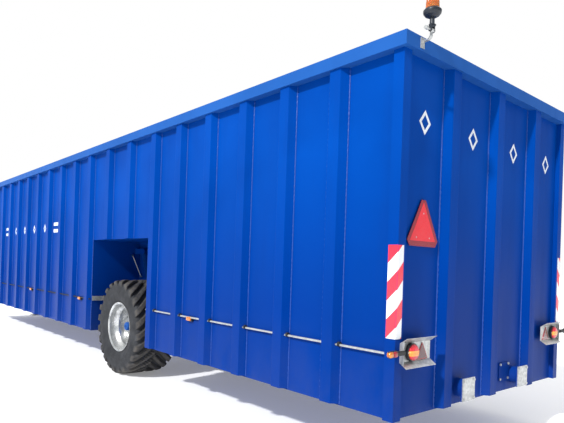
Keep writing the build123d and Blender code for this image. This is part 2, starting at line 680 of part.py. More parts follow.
def bolt(across, rise, run):
    """A hexagon-headed bolt whose head faces the rear, from its seat at a run."""
    shank = long_bar(across, rise, BOLT_RADIUS, (run, run + 24))
    head = extrude(Plane(origin=spot(run, across, rise), z_dir=(1, 0, 0))
                   * RegularPolygon(BOLT_HEAD_RADIUS, 6), BOLT_HEAD)
    return shank + head


def corner_bolts(across, rise, half_across, half_rise, run):
    """Four bolts at the corners of a plate."""
    return [bolt(across + i * half_across, rise + j * half_rise, run)
            for i in (-1, 1) for j in (-1, 1)]


def drilled(plate, bolts):
    """A plate with its bolts' shanks taken out of it."""
    for piece in bolts:
        plate -= piece
    return plate


corner = COVER_SIZE / 2 - BOLT_INSET
for place in outlet_places:
    bolts = corner_bolts(place, OUTLET_RISE, corner, corner, -OUTLET_REACH - COVER_THICKNESS)
    square = (place - COVER_SIZE / 2, place + COVER_SIZE / 2)
    square_rise = (OUTLET_RISE - COVER_SIZE / 2, OUTLET_RISE + COVER_SIZE / 2)
    flange = block((-OUTLET_REACH, -OUTLET_REACH + COVER_THICKNESS), square, square_rise)
    pipe = long_bar(place, OUTLET_RISE, OUTLET_RADIUS, (-OUTLET_REACH, panel_in + 30)) + flange
    pipe -= long_bar(place, OUTLET_RISE, OUTLET_RADIUS - OUTLET_WALL,
                     (-OUTLET_REACH - 1, panel_in + 31))
    cover = block((-OUTLET_REACH - COVER_THICKNESS, -OUTLET_REACH), square, square_rise)
    outlet_pipes.append(drilled(pipe, bolts))
    outlet_covers.append(drilled(cover, bolts))
    cover_bolts += bolts
sump_across = half_width + SUMP_COVER_OFFSET
sump_run = (RIB_DEPTH - 8, RIB_DEPTH)
sump = block(sump_run, (sump_across - SUMP_COVER_SIZE[0] / 2, sump_across + SUMP_COVER_SIZE[0] / 2),
             (SUMP_COVER_RISE - SUMP_COVER_SIZE[1] / 2, SUMP_COVER_RISE + SUMP_COVER_SIZE[1] / 2))
sump -= long_bar(outlet_places[1], OUTLET_RISE, OUTLET_RADIUS + 2, sump_run)
sump_bolts = [extrude(Plane(origin=spot(sump_run[0], sump_across + i * 80, SUMP_COVER_RISE + j * 70),
                            z_dir=(1, 0, 0)) * RegularPolygon(BOLT_HEAD_RADIUS, 6), BOLT_HEAD)
              for i in (-1, 1) for j in (-1, 1)]
save("outlet_pipes", *outlet_pipes)
save("outlet_covers", *outlet_covers)
save("cover_bolts", *cover_bolts, *sump_bolts)
save("sump_cover", sump)

# ---- rear lights ----
box_back = POST_SETBACK - SHEET
box_across = (BOX_START, BOX_START + BOX_LENGTH)
box_middle = (BOX_RISE[0] + BOX_RISE[1]) / 2
box_lip = box_back - BOX_FLARE
box_outline = [(POST_SETBACK, BOX_RISE[0]), (POST_SETBACK, BOX_RISE[1]),
               (box_lip, BOX_RISE[1] + BOX_SPREAD), (box_lip, BOX_RISE[1] + BOX_SPREAD - SHEET),
               (box_back, BOX_RISE[1] - SHEET), (box_back, BOX_RISE[0] + SHEET),
               (box_lip, BOX_RISE[0] - BOX_SPREAD + SHEET), (box_lip, BOX_RISE[0] - BOX_SPREAD)]
box_sheet = side_plate(box_outline, box_across)
end_outline = [(box_back, BOX_RISE[0] + SHEET), (box_back, BOX_RISE[1] - SHEET),
               (box_back - 34, BOX_RISE[1] + 18), (box_back - 34, BOX_RISE[0] - 18)]
box_end = side_plate(end_outline, (BOX_START, BOX_START + SHEET))
save("light_boxes", *both_sides([box_sheet, box_end]))

lamp = long_bar(BOX_START + LAMP_OFFSET, box_middle, LAMP_RADIUS,
                (box_back - LAMP_DEPTH, box_back))
lamp = chamfer(lamp.faces().sort_by(Axis.X)[-1].edges(), 10)
save("tail_lamps", *both_sides([lamp]))

reflector_across = BOX_START + REFLECTOR_OFFSET
reflector_height = REFLECTOR_SIDE * math.sqrt(3) / 2
reflector_low = box_middle - reflector_height / 2


def rear_plate_shape(points, run, thickness):
    """An outline of (across, rise) points facing the rear, proud of a run."""
    plane = Plane(origin=spot(run, half_width, -GROUND_CLEARANCE), x_dir=(0, 1, 0), z_dir=(1, 0, 0))
    outline = [(across - half_width, rise + GROUND_CLEARANCE) for across, rise in points]
    return extrude(plane * Polygon(*outline, align=None), thickness, dir=(1, 0, 0))


reflector = rear_plate_shape([(reflector_across - REFLECTOR_SIDE / 2, reflector_low),
                              (reflector_across + REFLECTOR_SIDE / 2, reflector_low),
                              (reflector_across, reflector_low + reflector_height)], box_back, 8)
save("tail_reflectors", *both_sides([reflector]))

marker_shift = POST_SETBACK - MARKER_DEPTH / 2 - 20
marker_run = (marker_shift - MARKER_DEPTH / 2, marker_shift + MARKER_DEPTH / 2)
marker_rise = (box_middle + 8 - MARKER_HEIGHT / 2, box_middle + 8 + MARKER_HEIGHT / 2)
arm_rise = (marker_rise[0] + 8, marker_rise[1] - 8)
marker_arm = block((marker_shift - 12, marker_shift + 12), (-19, BOX_START), arm_rise)
marker_arm = fillet(marker_arm.edges().filter_by(Axis.Y), 9)
marker = block(marker_run, (-19 - MARKER_REACH, -19), marker_rise)
marker = fillet(marker.edges().filter_by(Axis.Y), 14)
save("marker_arms", *both_sides([marker_arm]))
save("marker_lamps", *both_sides([marker]))

# ---- warning triangle and hazard strips ----
sign_run = RIB_DEPTH - SIGN_OFF
clip = SIGN_CLIP
sign_left = SIGN_ACROSS - SIGN_BASE / 2
sign_right = SIGN_ACROSS + SIGN_BASE / 2
lean = SIGN_BASE / 2 / (SIGN_HEIGHT + clip)
sign_top = SIGN_RISE + SIGN_HEIGHT
sign_points = [(sign_left + clip, SIGN_RISE), (sign_right - clip, SIGN_RISE),
               (sign_right, SIGN_RISE + clip * 1.4), (SIGN_ACROSS + clip * 0.8, sign_top),
               (SIGN_ACROSS - clip * 0.8, sign_top), (sign_left, SIGN_RISE + clip * 1.4)]
sign_plate = rear_plate_shape(sign_points, sign_run, SHEET)
spacers = [long_bar(SIGN_ACROSS + step, SIGN_RISE + 70, 8, (sign_run, RIB_DEPTH))
           for step in (-90, 90)] + [long_bar(SIGN_ACROSS, SIGN_RISE + 260, 8, (sign_run, RIB_DEPTH))]
save("warning_triangle", sign_plate, *spacers)

strip_out = POST_SETBACK - STRIP_THICKNESS
strip_outline = [(strip_out, strip_out), (POST_SETBACK + STRIP_WIDTH[0], strip_out),
                 (POST_SETBACK + STRIP_WIDTH[0], POST_SETBACK), (POST_SETBACK, POST_SETBACK),
                 (POST_SETBACK, POST_SETBACK + STRIP_WIDTH[1]), (strip_out, POST_SETBACK + STRIP_WIDTH[1])]
save("hazard_strips", *both_sides([plan_plate(strip_outline, STRIP_RISE)]))

# ---- cable run along each side, and side lamps ----
conduit = long_bar(CONDUIT_ACROSS, CONDUIT_RISE, CONDUIT_RADIUS, (post_in, well_rear))
save("conduits", *both_sides([conduit]))


def flank_run(rib_run, side):
    """Where the cable run meets a rib's flank, on its rear (-1) or front (+1) side."""
    return rib_run + side * (RIB_FACE / 2 + RIB_FLANK * CONDUIT_ACROSS / RIB_DEPTH)


front_tube = long_bar(CONDUIT_ACROSS, CONDUIT_RISE, CONDUIT_RADIUS,
                      (well_front, body_length - post_in))
grommet_gap = GROMMET_RADIUS * RIB_FLANK / RIB_DEPTH + 1
grommets = []
for rib_run in rear_ribs_side:
    forward_end = flank_run(rib_run, -1) - grommet_gap
    span = (forward_end - GROMMET_LENGTH, forward_end)
    ring = long_bar(CONDUIT_ACROSS, CONDUIT_RISE + GROMMET_LIFT, GROMMET_RADIUS, span)
    grommets.append(ring - long_bar(CONDUIT_ACROSS, CONDUIT_RISE, CONDUIT_RADIUS, span))
save("cable_tubes", *both_sides([front_tube] + grommets))


def bay_middle(ribs, index):
    """The middle of the bay that follows a rib."""
    return (ribs[index] + ribs[index + 1]) / 2


lamp_runs = [bay_middle(rear_ribs_side, 3)] + [bay_middle(front_ribs_side, i) for i in (0, 4, 8)]
lamp_length, lamp_depth, lamp_height = SIDE_LAMP_SIZE
lamp_rise = (CONDUIT_RISE - SIDE_LAMP_DROP - lamp_height / 2,
             CONDUIT_RISE - SIDE_LAMP_DROP + lamp_height / 2)
side_lamps = []
for place in lamp_runs:
    span = (place - lamp_length / 2, place + lamp_length / 2)
    body = block(span, (RIB_DEPTH - lamp_depth, RIB_DEPTH), lamp_rise)
    body = fillet(body.edges().filter_by(Axis.Y), SIDE_LAMP_CORNER)
    side_lamps.append(body - long_bar(CONDUIT_ACROSS, CONDUIT_RISE, CONDUIT_RADIUS, span))
save("side_lamps", *both_sides(side_lamps))

channel_across = (panel_in, WELL_DEPTH)
channels = [
    square_tube((well_front - CHANNEL_DEPTH, well_front), channel_across, CHANNEL_RISE,
                CHANNEL_WALL, "across"),
    square_tube((well_rear, well_rear + CHANNEL_DEPTH), channel_across, CHANNEL_RISE,
                CHANNEL_WALL, "across"),
]
save("cable_channels", *both_sides(channels))

front_union = (LINE_FRONT_ACROSS, WELL_HEIGHT - LINE_FRONT_DROP)
inner_union = (well_front - LINE_INNER_RUN, WELL_HEIGHT - LINE_INNER_DROP)
unions = [long_bar(*front_union, LINE_UNION_RADIUS, (well_front - LINE_UNION_LENGTH, well_front)),
          cross_bar(*inner_union, LINE_UNION_RADIUS, (WELL_DEPTH - LINE_UNION_LENGTH, WELL_DEPTH))]
hydraulic_line = rod_between(spot(well_front - LINE_UNION_RADIUS, *front_union),
                             spot(inner_union[0], WELL_DEPTH - LINE_UNION_RADIUS, inner_union[1]),
                             LINE_RADIUS)
hydraulic_line = hydraulic_line - unions[0] - unions[1]
save("hydraulic_lines", *both_sides([hydraulic_line] + unions))

# ---- drawbar, hitch eye and parking leg ----
frame_height = (DRAWBAR_PIVOT_RISE - DRAWBAR_HEIGHT / 2, DRAWBAR_PIVOT_RISE + DRAWBAR_HEIGHT / 2)
nose_run = eye_run - 190
nose_half = 70.0


def frame_leg(inset, rise):
    """The plan shape of the drawbar's left leg, thinner by an inset."""
    outer = drawbar_places[0] - DRAWBAR_WIDTH / 2 + inset
    inner = drawbar_places[0] + DRAWBAR_WIDTH / 2 - inset
    nose = half_width - nose_half
    return plan_plate([(drawbar_run + 62, outer), (nose_run, nose - 20 + inset),
                       (nose_run, nose + DRAWBAR_WIDTH - 22 - inset), (drawbar_run + 62, inner)], rise)


leg_left = frame_leg(0, frame_height)
leg_left -= frame_leg(DRAWBAR_WALL, (frame_height[0] + DRAWBAR_WALL, frame_height[1] - DRAWBAR_WALL))
knuckle_span = (drawbar_places[0] - DRAWBAR_WIDTH / 2, drawbar_places[0] + DRAWBAR_WIDTH / 2)
knuckle = block((drawbar_run, drawbar_run + 62), knuckle_span,
                (DRAWBAR_PIVOT_RISE - 40, DRAWBAR_PIVOT_RISE + 40))
knuckle += cross_bar(drawbar_run, DRAWBAR_PIVOT_RISE, 42, knuckle_span)
knuckle -= cross_bar(drawbar_run, DRAWBAR_PIVOT_RISE, DRAWBAR_PIN_RADIUS + TURN_GAP,
                     (knuckle_span[0] - 1, knuckle_span[1] + 1))
leg_left += knuckle
nose = block((nose_run, nose_run + 70), (half_width - 105, half_width + 105), frame_height)
tie_run = (drawbar_run + 520, drawbar_run + 600)
tie_half = 250.0
cross_piece = block(tie_run, (half_width - tie_half, half_width + tie_half),
                    (frame_height[0] + 20, frame_height[1] - 20))
a_frame = leg_left + other_side(leg_left) + nose + cross_piece
save("drawbar", a_frame)

eye_rise = (DRAWBAR_PIVOT_RISE - EYE_THICKNESS / 2, DRAWBAR_PIVOT_RISE + EYE_THICKNESS / 2)
eye_plane = Pos(spot(eye_run, half_width, DRAWBAR_PIVOT_RISE))
eye = eye_plane * Cylinder(EYE_RING_RADIUS, EYE_THICKNESS)
eye += block((nose_run + 70, eye_run), (half_width - 38, half_width + 38), eye_rise)
eye -= eye_plane * Cylinder(EYE_BORE, EYE_THICKNESS + 2)
eye += block((nose_run + 70, nose_run + 82), (half_width - 90, half_width + 90),
             (frame_height[0] + 5, frame_height[1] - 5))
save("hitch_eye", eye)

leg_run = body_length + LEG_STAND_OFF + LEG_SIZE / 2 + LEG_SLEEVE_WALL + TURN_GAP
sleeve_half = LEG_SIZE / 2 + TURN_GAP + LEG_SLEEVE_WALL
leg_sleeve = square_tube((leg_run - sleeve_half, leg_run + sleeve_half),
                         (half_width - sleeve_half, half_width + sleeve_half),
                         LEG_SLEEVE_RISE, LEG_SLEEVE_WALL, "rise")
leg_brackets = [block((body_length, leg_run - sleeve_half), (half_width - 50, half_width + 50),
                      (rise, rise + 90)) for rise in (SILL_HEIGHT + 30, LEG_SLEEVE_RISE[1] - 140)]
save("leg_sleeve", leg_sleeve, *leg_brackets)

leg_half = LEG_SIZE / 2
foot_rise = (-GROUND_CLEARANCE, -GROUND_CLEARANCE + FOOT_THICKNESS)
leg = square_tube((leg_run - leg_half, leg_run + leg_half),
                  (half_width - leg_half, half_width + leg_half),
                  (foot_rise[1], LEG_TOP_RISE), LEG_WALL, "rise")
foot = block((leg_run - FOOT_SIZE / 2, leg_run + FOOT_SIZE / 2),
             (half_width - FOOT_SIZE / 2, half_width + FOOT_SIZE / 2), foot_rise)
foot = chamfer(foot.edges().filter_by(Axis.Z), 25)
save("parking_leg", leg + foot)

# ---- warning beacon on its folding bracket ----
hinge_rise = BODY_HEIGHT + BEACON_HINGE_ABOVE_RIM
hinge_run = -BEACON_OUT
arm_half = BEACON_ARM_WIDTH / 2
beacon_span = (BEACON_ACROSS - arm_half, BEACON_ACROSS + arm_half)
base_plate = block((-RIM_OVERHANG - BEACON_ARM_SHEET, -RIM_OVERHANG),
                   (BEACON_ACROSS - BEACON_PLATE_WIDTH / 2, BEACON_ACROSS + BEACON_PLATE_WIDTH / 2),
                   (BODY_HEIGHT - BEACON_PLATE_DROP[1], BODY_HEIGHT - BEACON_PLATE_DROP[0]))
arm_low = BODY_HEIGHT - 40
bend = BEACON_PLATE_BEND
sheet = BEACON_ARM_SHEET
arm_bottom = block((hinge_run + bend + sheet, -RIM_OVERHANG - sheet), beacon_span,
                   (arm_low - sheet, arm_low))
bend_centre = (hinge_run + bend + sheet, arm_low + bend)
quarter = cross_bar(bend_centre[0], bend_centre[1], bend + sheet, beacon_span)
quarter -= cross_bar(bend_centre[0], bend_centre[1], bend, beacon_span)
quarter = quarter & block((bend_centre[0] - bend - sheet, bend_centre[0]), beacon_span,
                          (arm_low - sheet, bend_centre[1]))
arm_up = block((hinge_run, hinge_run + sheet), beacon_span, (bend_centre[1], hinge_rise - 8))
knuckle_tube = cross_bar(hinge_run, hinge_rise, BEACON_KNUCKLE_RADIUS, beacon_span)
bracket = arm_bottom + quarter + arm_up + knuckle_tube
bracket -= cross_bar(hinge_run, hinge_rise, BEACON_BOLT_RADIUS, beacon_span)
hinge_bolt = cross_bar(hinge_run, hinge_rise, BEACON_BOLT_RADIUS,
                       (BEACON_ACROSS - 62, BEACON_ACROSS + 34))
knob = cross_bar(hinge_run, hinge_rise, BEACON_KNUCKLE_RADIUS,
                 (BEACON_ACROSS - 84, BEACON_ACROSS - 58))
save("beacon_bracket", base_plate, bracket, hinge_bolt + knob)

ear_gap = 0.5
crown_rise = (hinge_rise + BEACON_KNUCKLE_RADIUS + 6, hinge_rise + BEACON_KNUCKLE_RADIUS + 28)
ears = []
for near, far in ((beacon_span[0] - ear_gap - 9, beacon_span[0] - ear_gap),
                  (beacon_span[1] + ear_gap, beacon_span[1] + ear_gap + 9)):
    ear = cross_bar(hinge_run, hinge_rise, BEACON_KNUCKLE_RADIUS, (near, far))
    ear += block((hinge_run - 12, hinge_run + 12), (near, far), (hinge_rise, crown_rise[1]))
    ear -= cross_bar(hinge_run, hinge_rise, BEACON_BOLT_RADIUS + TURN_GAP, (near, far))
    ears.append(ear)
fork = ears[0] + ears[1]
fork += block((hinge_run - 12, hinge_run + 12),
              (beacon_span[0] - ear_gap - 9, beacon_span[1] + ear_gap + 9), crown_rise)
stem_rise = (crown_rise[1], crown_rise[1] + BEACON_STEM_LENGTH)
cup_rise = (stem_rise[1] - 4, stem_rise[1] - 4 + BEACON_CUP_HEIGHT)
beacon_axis = spot(hinge_run, BEACON_ACROSS, 0)


def beacon_turned(outline):
    """A piece turned about the beacon's upright axis from (radius, rise) points."""
    plane = Plane(origin=(beacon_axis.X, beacon_axis.Y, GROUND_CLEARANCE), x_dir=(1, 0, 0),
                  z_dir=(0, -1, 0))
    return revolve(plane * Polygon(*outline, align=None), Axis(plane.origin, (0, 0, 1)))


stem = beacon_turned([(0, stem_rise[0]), (BEACON_STEM_RADIUS, stem_rise[0]),
                      (BEACON_STEM_RADIUS - 2, stem_rise[1]), (0, stem_rise[1])])
cup_radius = BEACON_CUP_RADIUS
cup_seat = cup_rise[1] - BEACON_LENS_SEAT
lens_radius = BEACON_LENS_RADIUS
cup = beacon_turned([(0, stem_rise[1]), (28, stem_rise[1]), (cup_radius - 14, cup_rise[0] + 18),
                     (cup_radius - 2, cup_rise[0] + 34), (cup_radius, cup_rise[0] + 44),
                     (cup_radius, cup_rise[1] - BEACON_CUP_SHOULDER), (lens_radius + 4, cup_rise[1]),
                     (lens_radius + TURN_GAP, cup_rise[1]), (lens_radius + TURN_GAP, cup_seat),
                     (0, cup_seat)])
clamp_knob = cross_bar(hinge_run, stem_rise[0] + 8, 10, (BEACON_ACROSS + 20, BEACON_ACROSS + 40))
save("beacon_body", fork, stem, cup, clamp_knob)

lens_low = cup_seat


def lens_outline(inset):
    """The lens's outside from foot to crown, moved inward by an inset."""
    top = lens_low + BEACON_LENS_HEIGHT - inset
    return [(lens_radius - inset, lens_low), (lens_radius - 4 - inset, lens_low + 78),
            (lens_radius - 10 - inset, top - 12), (lens_radius - 24 - inset, top - 3), (0, top)]


lens = beacon_turned(lens_outline(0) + list(reversed(lens_outline(BEACON_LENS_WALL))))
save("beacon_lens", lens)

mirror_foot = lens_low + TURN_GAP
spool = beacon_turned([(0, mirror_foot), (20, mirror_foot), (20, mirror_foot + 8),
                       (8, mirror_foot + 8), (8, mirror_foot + 20), (0, mirror_foot + 20)])
bowl = beacon_turned([(30, mirror_foot + 8), (33, mirror_foot + 8), (33, mirror_foot + 70),
                      (30, mirror_foot + 70)])
cut = Pos(beacon_axis.X + 45, beacon_axis.Y, GROUND_CLEARANCE + mirror_foot + 50) * Box(80, 80, 120)
web = Pos(beacon_axis.X - 12, beacon_axis.Y, GROUND_CLEARANCE + mirror_foot + 4) * Box(44, 12, 8)
save("beacon_mirror", (bowl - cut) + spool + web)

print("body length", body_length)
print("rear face at x", rear_x)
print("lift angle", math.degrees(lift_angle), "stroke", lift_stroke, "ratio", stroke_ratio / 1000)
print("lean ratio", lean_ratio, "eye lean", math.degrees(eye_lean), "largest drift", max(drifts))
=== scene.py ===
import json
import math

import bmesh
import bpy
import numpy as np
from mathutils import Matrix, Vector


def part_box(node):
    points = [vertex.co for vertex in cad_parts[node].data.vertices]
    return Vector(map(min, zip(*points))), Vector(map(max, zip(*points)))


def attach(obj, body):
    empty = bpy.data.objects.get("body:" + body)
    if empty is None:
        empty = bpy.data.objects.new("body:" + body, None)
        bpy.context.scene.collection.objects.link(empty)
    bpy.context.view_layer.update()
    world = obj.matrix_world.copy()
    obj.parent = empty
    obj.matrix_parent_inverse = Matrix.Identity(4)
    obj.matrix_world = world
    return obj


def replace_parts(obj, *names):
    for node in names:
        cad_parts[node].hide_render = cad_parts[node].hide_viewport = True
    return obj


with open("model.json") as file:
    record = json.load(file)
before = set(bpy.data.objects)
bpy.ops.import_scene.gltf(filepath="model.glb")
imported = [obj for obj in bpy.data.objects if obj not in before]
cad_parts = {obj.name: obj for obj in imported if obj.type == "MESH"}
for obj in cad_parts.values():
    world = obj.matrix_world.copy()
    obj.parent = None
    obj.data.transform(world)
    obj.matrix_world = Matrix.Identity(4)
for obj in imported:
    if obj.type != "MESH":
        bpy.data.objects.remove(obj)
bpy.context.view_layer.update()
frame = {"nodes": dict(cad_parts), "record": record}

# ---------------------------------------------------------------------------
# Places, in metres, taken from the frame and from the container's own bays
# ---------------------------------------------------------------------------
TURN = 2 * math.pi
RIB_DEPTH = 0.065
RIB_BASE_HALF = 0.109
RIB_LIFT = 0.012
POST_SETBACK = 0.020
END_BAY = 0.685
REAR_BAY = 0.621
WHEEL_BAY = 0.701
FRONT_BAY = 0.651
END_RIB_PITCH = 0.781

post_low, post_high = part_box("corner_post_rear_left")
rear_face = post_high.x + POST_SETBACK
side_face = post_low.y - POST_SETBACK
underside = post_low.z
rib_top = post_high.z
rear_panel = rear_face - RIB_DEPTH
side_panel = side_face + RIB_DEPTH

rear_ribs = END_BAY + REAR_BAY * np.arange(6)
arch_ribs = rear_ribs[-1] + WHEEL_BAY * np.arange(1, 3)
front_ribs = rear_ribs[-1] + 3 * WHEEL_BAY + FRONT_BAY * np.arange(11)
arch_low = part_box("side_wall_left_arch")[0].z

wheel_low, wheel_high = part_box("tyre_left")
wheel_centre = (wheel_low + wheel_high) / 2  # the left wheel; the right one is its twin
tyre_radius = (wheel_high.z - wheel_low.z) / 2
tyre_half = (wheel_high.y - wheel_low.y) / 2


# ---------------------------------------------------------------------------
# Surfaces
# ---------------------------------------------------------------------------
def grid(points, loop_rows=False, loop_columns=False):
    """A surface on a two-parameter grid of points, rows by columns: each cell is one four-sided
    face, and either direction may run round to its start."""
    rows, columns = points.shape[:2]
    index = np.arange(rows * columns).reshape(rows, columns)
    if loop_rows:
        index = np.vstack([index, index[:1]])
    if loop_columns:
        index = np.hstack([index, index[:, :1]])
    faces = np.stack([index[:-1, :-1], index[:-1, 1:], index[1:, 1:], index[1:, :-1]], axis=-1)
    return points.reshape(-1, 3), faces.reshape(-1, 4)


def joined(surfaces):
    """Several surfaces as one list of points and one of faces."""
    starts = np.cumsum([0] + [len(points) for points, _ in surfaces[:-1]])
    points = np.vstack([surface[0] for surface in surfaces])
    faces = np.vstack([surface[1] + start for surface, start in zip(surfaces, starts)])
    return points, faces


def piece(name, surfaces, material, body, slot_name, replaced=(), crease=35.0):
    """One named piece from its surfaces: doubles merged, faces turned outwards, edges sharper
    than the crease angle kept sharp."""
    points, faces = joined(surfaces)
    mesh = bpy.data.meshes.new(name)
    mesh.from_pydata(points.tolist(), [], faces.tolist())
    shape = bmesh.new()
    shape.from_mesh(mesh)
    bmesh.ops.remove_doubles(shape, verts=shape.verts, dist=1e-6)
    bmesh.ops.dissolve_degenerate(shape, edges=shape.edges, dist=1e-7)
    bmesh.ops.recalc_face_normals(shape, faces=shape.faces)
    shape.to_mesh(mesh)
    shape.free()
    mesh.polygons.foreach_set("use_smooth", np.ones(len(mesh.polygons), dtype=bool))
    mesh.set_sharp_from_angle(angle=math.radians(crease))
    obj = bpy.data.objects.new(name, mesh)
    bpy.context.scene.collection.objects.link(obj)
    mesh.materials.append(material)
    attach(obj, body)
    if replaced:
        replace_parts(obj, *replaced)
    return obj


def smooth_line(points, count):
    """A curve through the given points: each span is a Catmull-Rom cubic, whose slope at a point
    is half the step between its two neighbours."""
    knots = np.asarray(points, float)
    padded = np.vstack([2 * knots[0] - knots[1], knots, 2 * knots[-1] - knots[-2]])
    place = np.linspace(0, len(knots) - 1, count)
    span = np.minimum(place.astype(int), len(knots) - 2)
    t = (place - span)[:, None]
    before, start, end, after = (padded[span + i] for i in range(4))
    return 0.5 * (2 * start + (end - before) * t + (2 * before - 5 * start + 4 * end - after) * t ** 2
                  + (3 * start - before - 3 * end + after) * t ** 3)


def smooth_step(low, high, value):
    """Zero below low, one above high, and three t squared less two t cubed between them."""
    t = np.clip((value - low) / (high - low), 0, 1)
    return t * t * (3 - 2 * t)


def frame_of(axis):
    """Two directions square to an axis."""
    axis = np.asarray(axis, float) / np.linalg.norm(axis)
    helper = np.array([0.0, 0.0, 1.0]) if abs(axis[2]) < 0.9 else np.array([1.0, 0.0, 0.0])
    first = np.cross(helper, axis)
    first /= np.linalg.norm(first)
    return axis, first, np.cross(axis, first)


def turned(profile, centre, axis, steps=96, ripple=None):
    """A surface of revolution: a profile of (radius, distance along the axis) points turned round
    the axis. A ripple, rows by columns, adds to the radius."""
    axis, first, second = frame_of(axis)
    angle = np.linspace(0, TURN, steps, endpoint=False)
    radius = np.repeat(np.asarray(profile, float)[None, :, 0], steps, axis=0)
    if ripple is not None:
        radius = radius + ripple
    spoke = np.cos(angle)[:, None] * first + np.sin(angle)[:, None] * second
    along = np.asarray(profile, float)[None, :, 1, None] * axis
    points = np.asarray(centre, float) + radius[..., None] * spoke[:, None, :] + along
    return grid(points, loop_rows=True)


def rounded_section(width, height, radius, per_corner=4):
    """A rectangle with quarter-circle corners, as points round its outline."""
    angle = np.linspace(0, math.pi / 2, per_corner)
    corner = np.stack([np.cos(angle), np.sin(angle)], axis=1) * radius
    half = np.array([width / 2 - radius, height / 2 - radius])
    quarters = []
    for i, sign in enumerate(((1, 1), (-1, 1), (-1, -1), (1, -1))):
        turn = i * math.pi / 2
        rotate = np.array([[math.cos(turn), math.sin(turn)], [-math.sin(turn), math.cos(turn)]])
        quarters.append(corner @ rotate + half * sign)
    return np.vstack(quarters)


def soft_block(low, high, radius, along=0):
    """A block with rounded edges: a rounded section carried along one axis, drawn in at each end
    along a quarter circle."""
    low, high = np.asarray(low, float), np.asarray(high, float)
    others = [i for i in range(3) if i != along]
    size = high - low
    middle = (low + high) / 2
    section = rounded_section(size[others[0]], size[others[1]], radius, 5)
    angle = np.linspace(0, math.pi / 2, 5)
    inset = radius * (1 - np.sin(angle))
    place = np.concatenate([low[along] + radius - radius * np.cos(angle),
                            high[along] - radius + radius * np.cos(angle[::-1])])
    shrink = np.concatenate([inset, inset[::-1]])
    points = np.empty((len(place), len(section), 3))
    for column, other in enumerate(others):
        half = size[other] / 2
        factor = (half - shrink) / half
        points[:, :, other] = middle[other] + section[None, :, column] * factor[:, None]
    points[:, :, along] = place[:, None]
    ends = np.repeat(points.mean(axis=1, keepdims=True), len(section), 1)
    return grid(np.concatenate([ends[:1], points, ends[-1:]]), loop_columns=True)


def six_sided(centre, axis, radius, height):
    """A hexagon nut or bolt head: a six-sided section with its outer edge chamfered."""
    profile = [(0, 0), (radius, 0), (radius, height * 0.85), (radius * 0.88, height), (0, height)]
    return turned(profile, centre, axis, steps=6)


def on_both_sides(*pieces):
    """Pieces on the left side of the container and their twins on the right. Each is a name,
    surfaces, material and slot, then what else a piece takes."""
    for side, place in (("left", list), ("right", mirrored)):
        for name, surfaces, material, slot_name, *rest in pieces:
            piece(f"{name}_{side}", place(surfaces), material, "container", slot_name, *rest)


def mirrored(surfaces):
    """The same surfaces on the right-hand side."""
    return [(points * np.array([1, -1, 1]), faces) for points, faces in surfaces]


# ---------------------------------------------------------------------------
# Shader groups that several materials share
# ---------------------------------------------------------------------------
def new_group(name, inputs, outputs):
    """An empty shader group with named number inputs and named outputs."""
    group = bpy.data.node_groups.new(name, "ShaderNodeTree")
    for label, value in inputs:
        socket = group.interface.new_socket(label, in_out="INPUT", socket_type="NodeSocketFloat")
        socket.default_value = value
    for label in outputs:
        group.interface.new_socket(label, in_out="OUTPUT", socket_type="NodeSocketFloat")
    return group, group.nodes.new("NodeGroupInput"), group.nodes.new("NodeGroupOutput")


def put(tree, kind, **settings):
    """A new node with its settings, and its sockets set by label."""
    node = tree.nodes.new(kind)
    for label, value in settings.items():
        if hasattr(node, label):
            setattr(node, label, value)
        else:
            node.inputs[label.replace("_", " ")].default_value = value
    return node


def maths(tree, operation, first, second=None, clamp=False):
    """A Math node fed by sockets or numbers."""
    node = tree.nodes.new("ShaderNodeMath")
    node.operation = operation
    node.use_clamp = clamp
    for slot_index, value in enumerate((first, second)):
        if value is None:
            continue
        if isinstance(value, (int, float)):
            node.inputs[slot_index].default_value = value
        else:
            tree.links.new(value, node.inputs[slot_index])
    return node.outputs[0]


def ranged(tree, value, low, high, to_low=0.0, to_high=1.0):
    """A value mapped from one range to another, clamped."""
    node = put(tree, "ShaderNodeMapRange")
    for label, number in (("From Min", low), ("From Max", high), ("To Min", to_low), ("To Max", to_high)):
        if isinstance(number, (int, float)):
            node.inputs[label].default_value = number
        else:
            tree.links.new(number, node.inputs[label])
    tree.links.new(value, node.inputs["Value"])
    return node.outputs["Result"]


def object_noise(tree, scale, stretch=(1, 1, 1), detail=4.0, roughness=0.55):
    """Noise on Object coordinates, with the coordinates stretched first."""
    place = tree.nodes.new("ShaderNodeTexCoord")
    mapping = put(tree, "ShaderNodeMapping")
    mapping.inputs["Scale"].default_value = stretch
    tree.links.new(place.outputs["Object"], mapping.inputs["Vector"])
    noise = put(tree, "ShaderNodeTexNoise", Scale=scale, Detail=detail, Roughness=roughness)
    tree.links.new(mapping.outputs["Vector"], noise.inputs["Vector"])
    return noise.outputs["Fac"]


def noise_from(group, into):
    """Noise on Object coordinates, with its settings taken from the group's own inputs."""
    place = group.nodes.new("ShaderNodeTexCoord")
    noise = put(group, "ShaderNodeTexNoise")
    group.links.new(place.outputs["Object"], noise.inputs["Vector"])
    for label in ("Scale", "Detail", "Roughness"):
        group.links.new(into.outputs[label], noise.inputs[label])
    return noise.outputs["Fac"]


def height_above_ground(tree):
    """The Object coordinate's height."""
    place = tree.nodes.new("ShaderNodeTexCoord")
    split = tree.nodes.new("ShaderNodeSeparateXYZ")
    tree.links.new(place.outputs["Object"], split.inputs[0])
    return split.outputs["Z"]


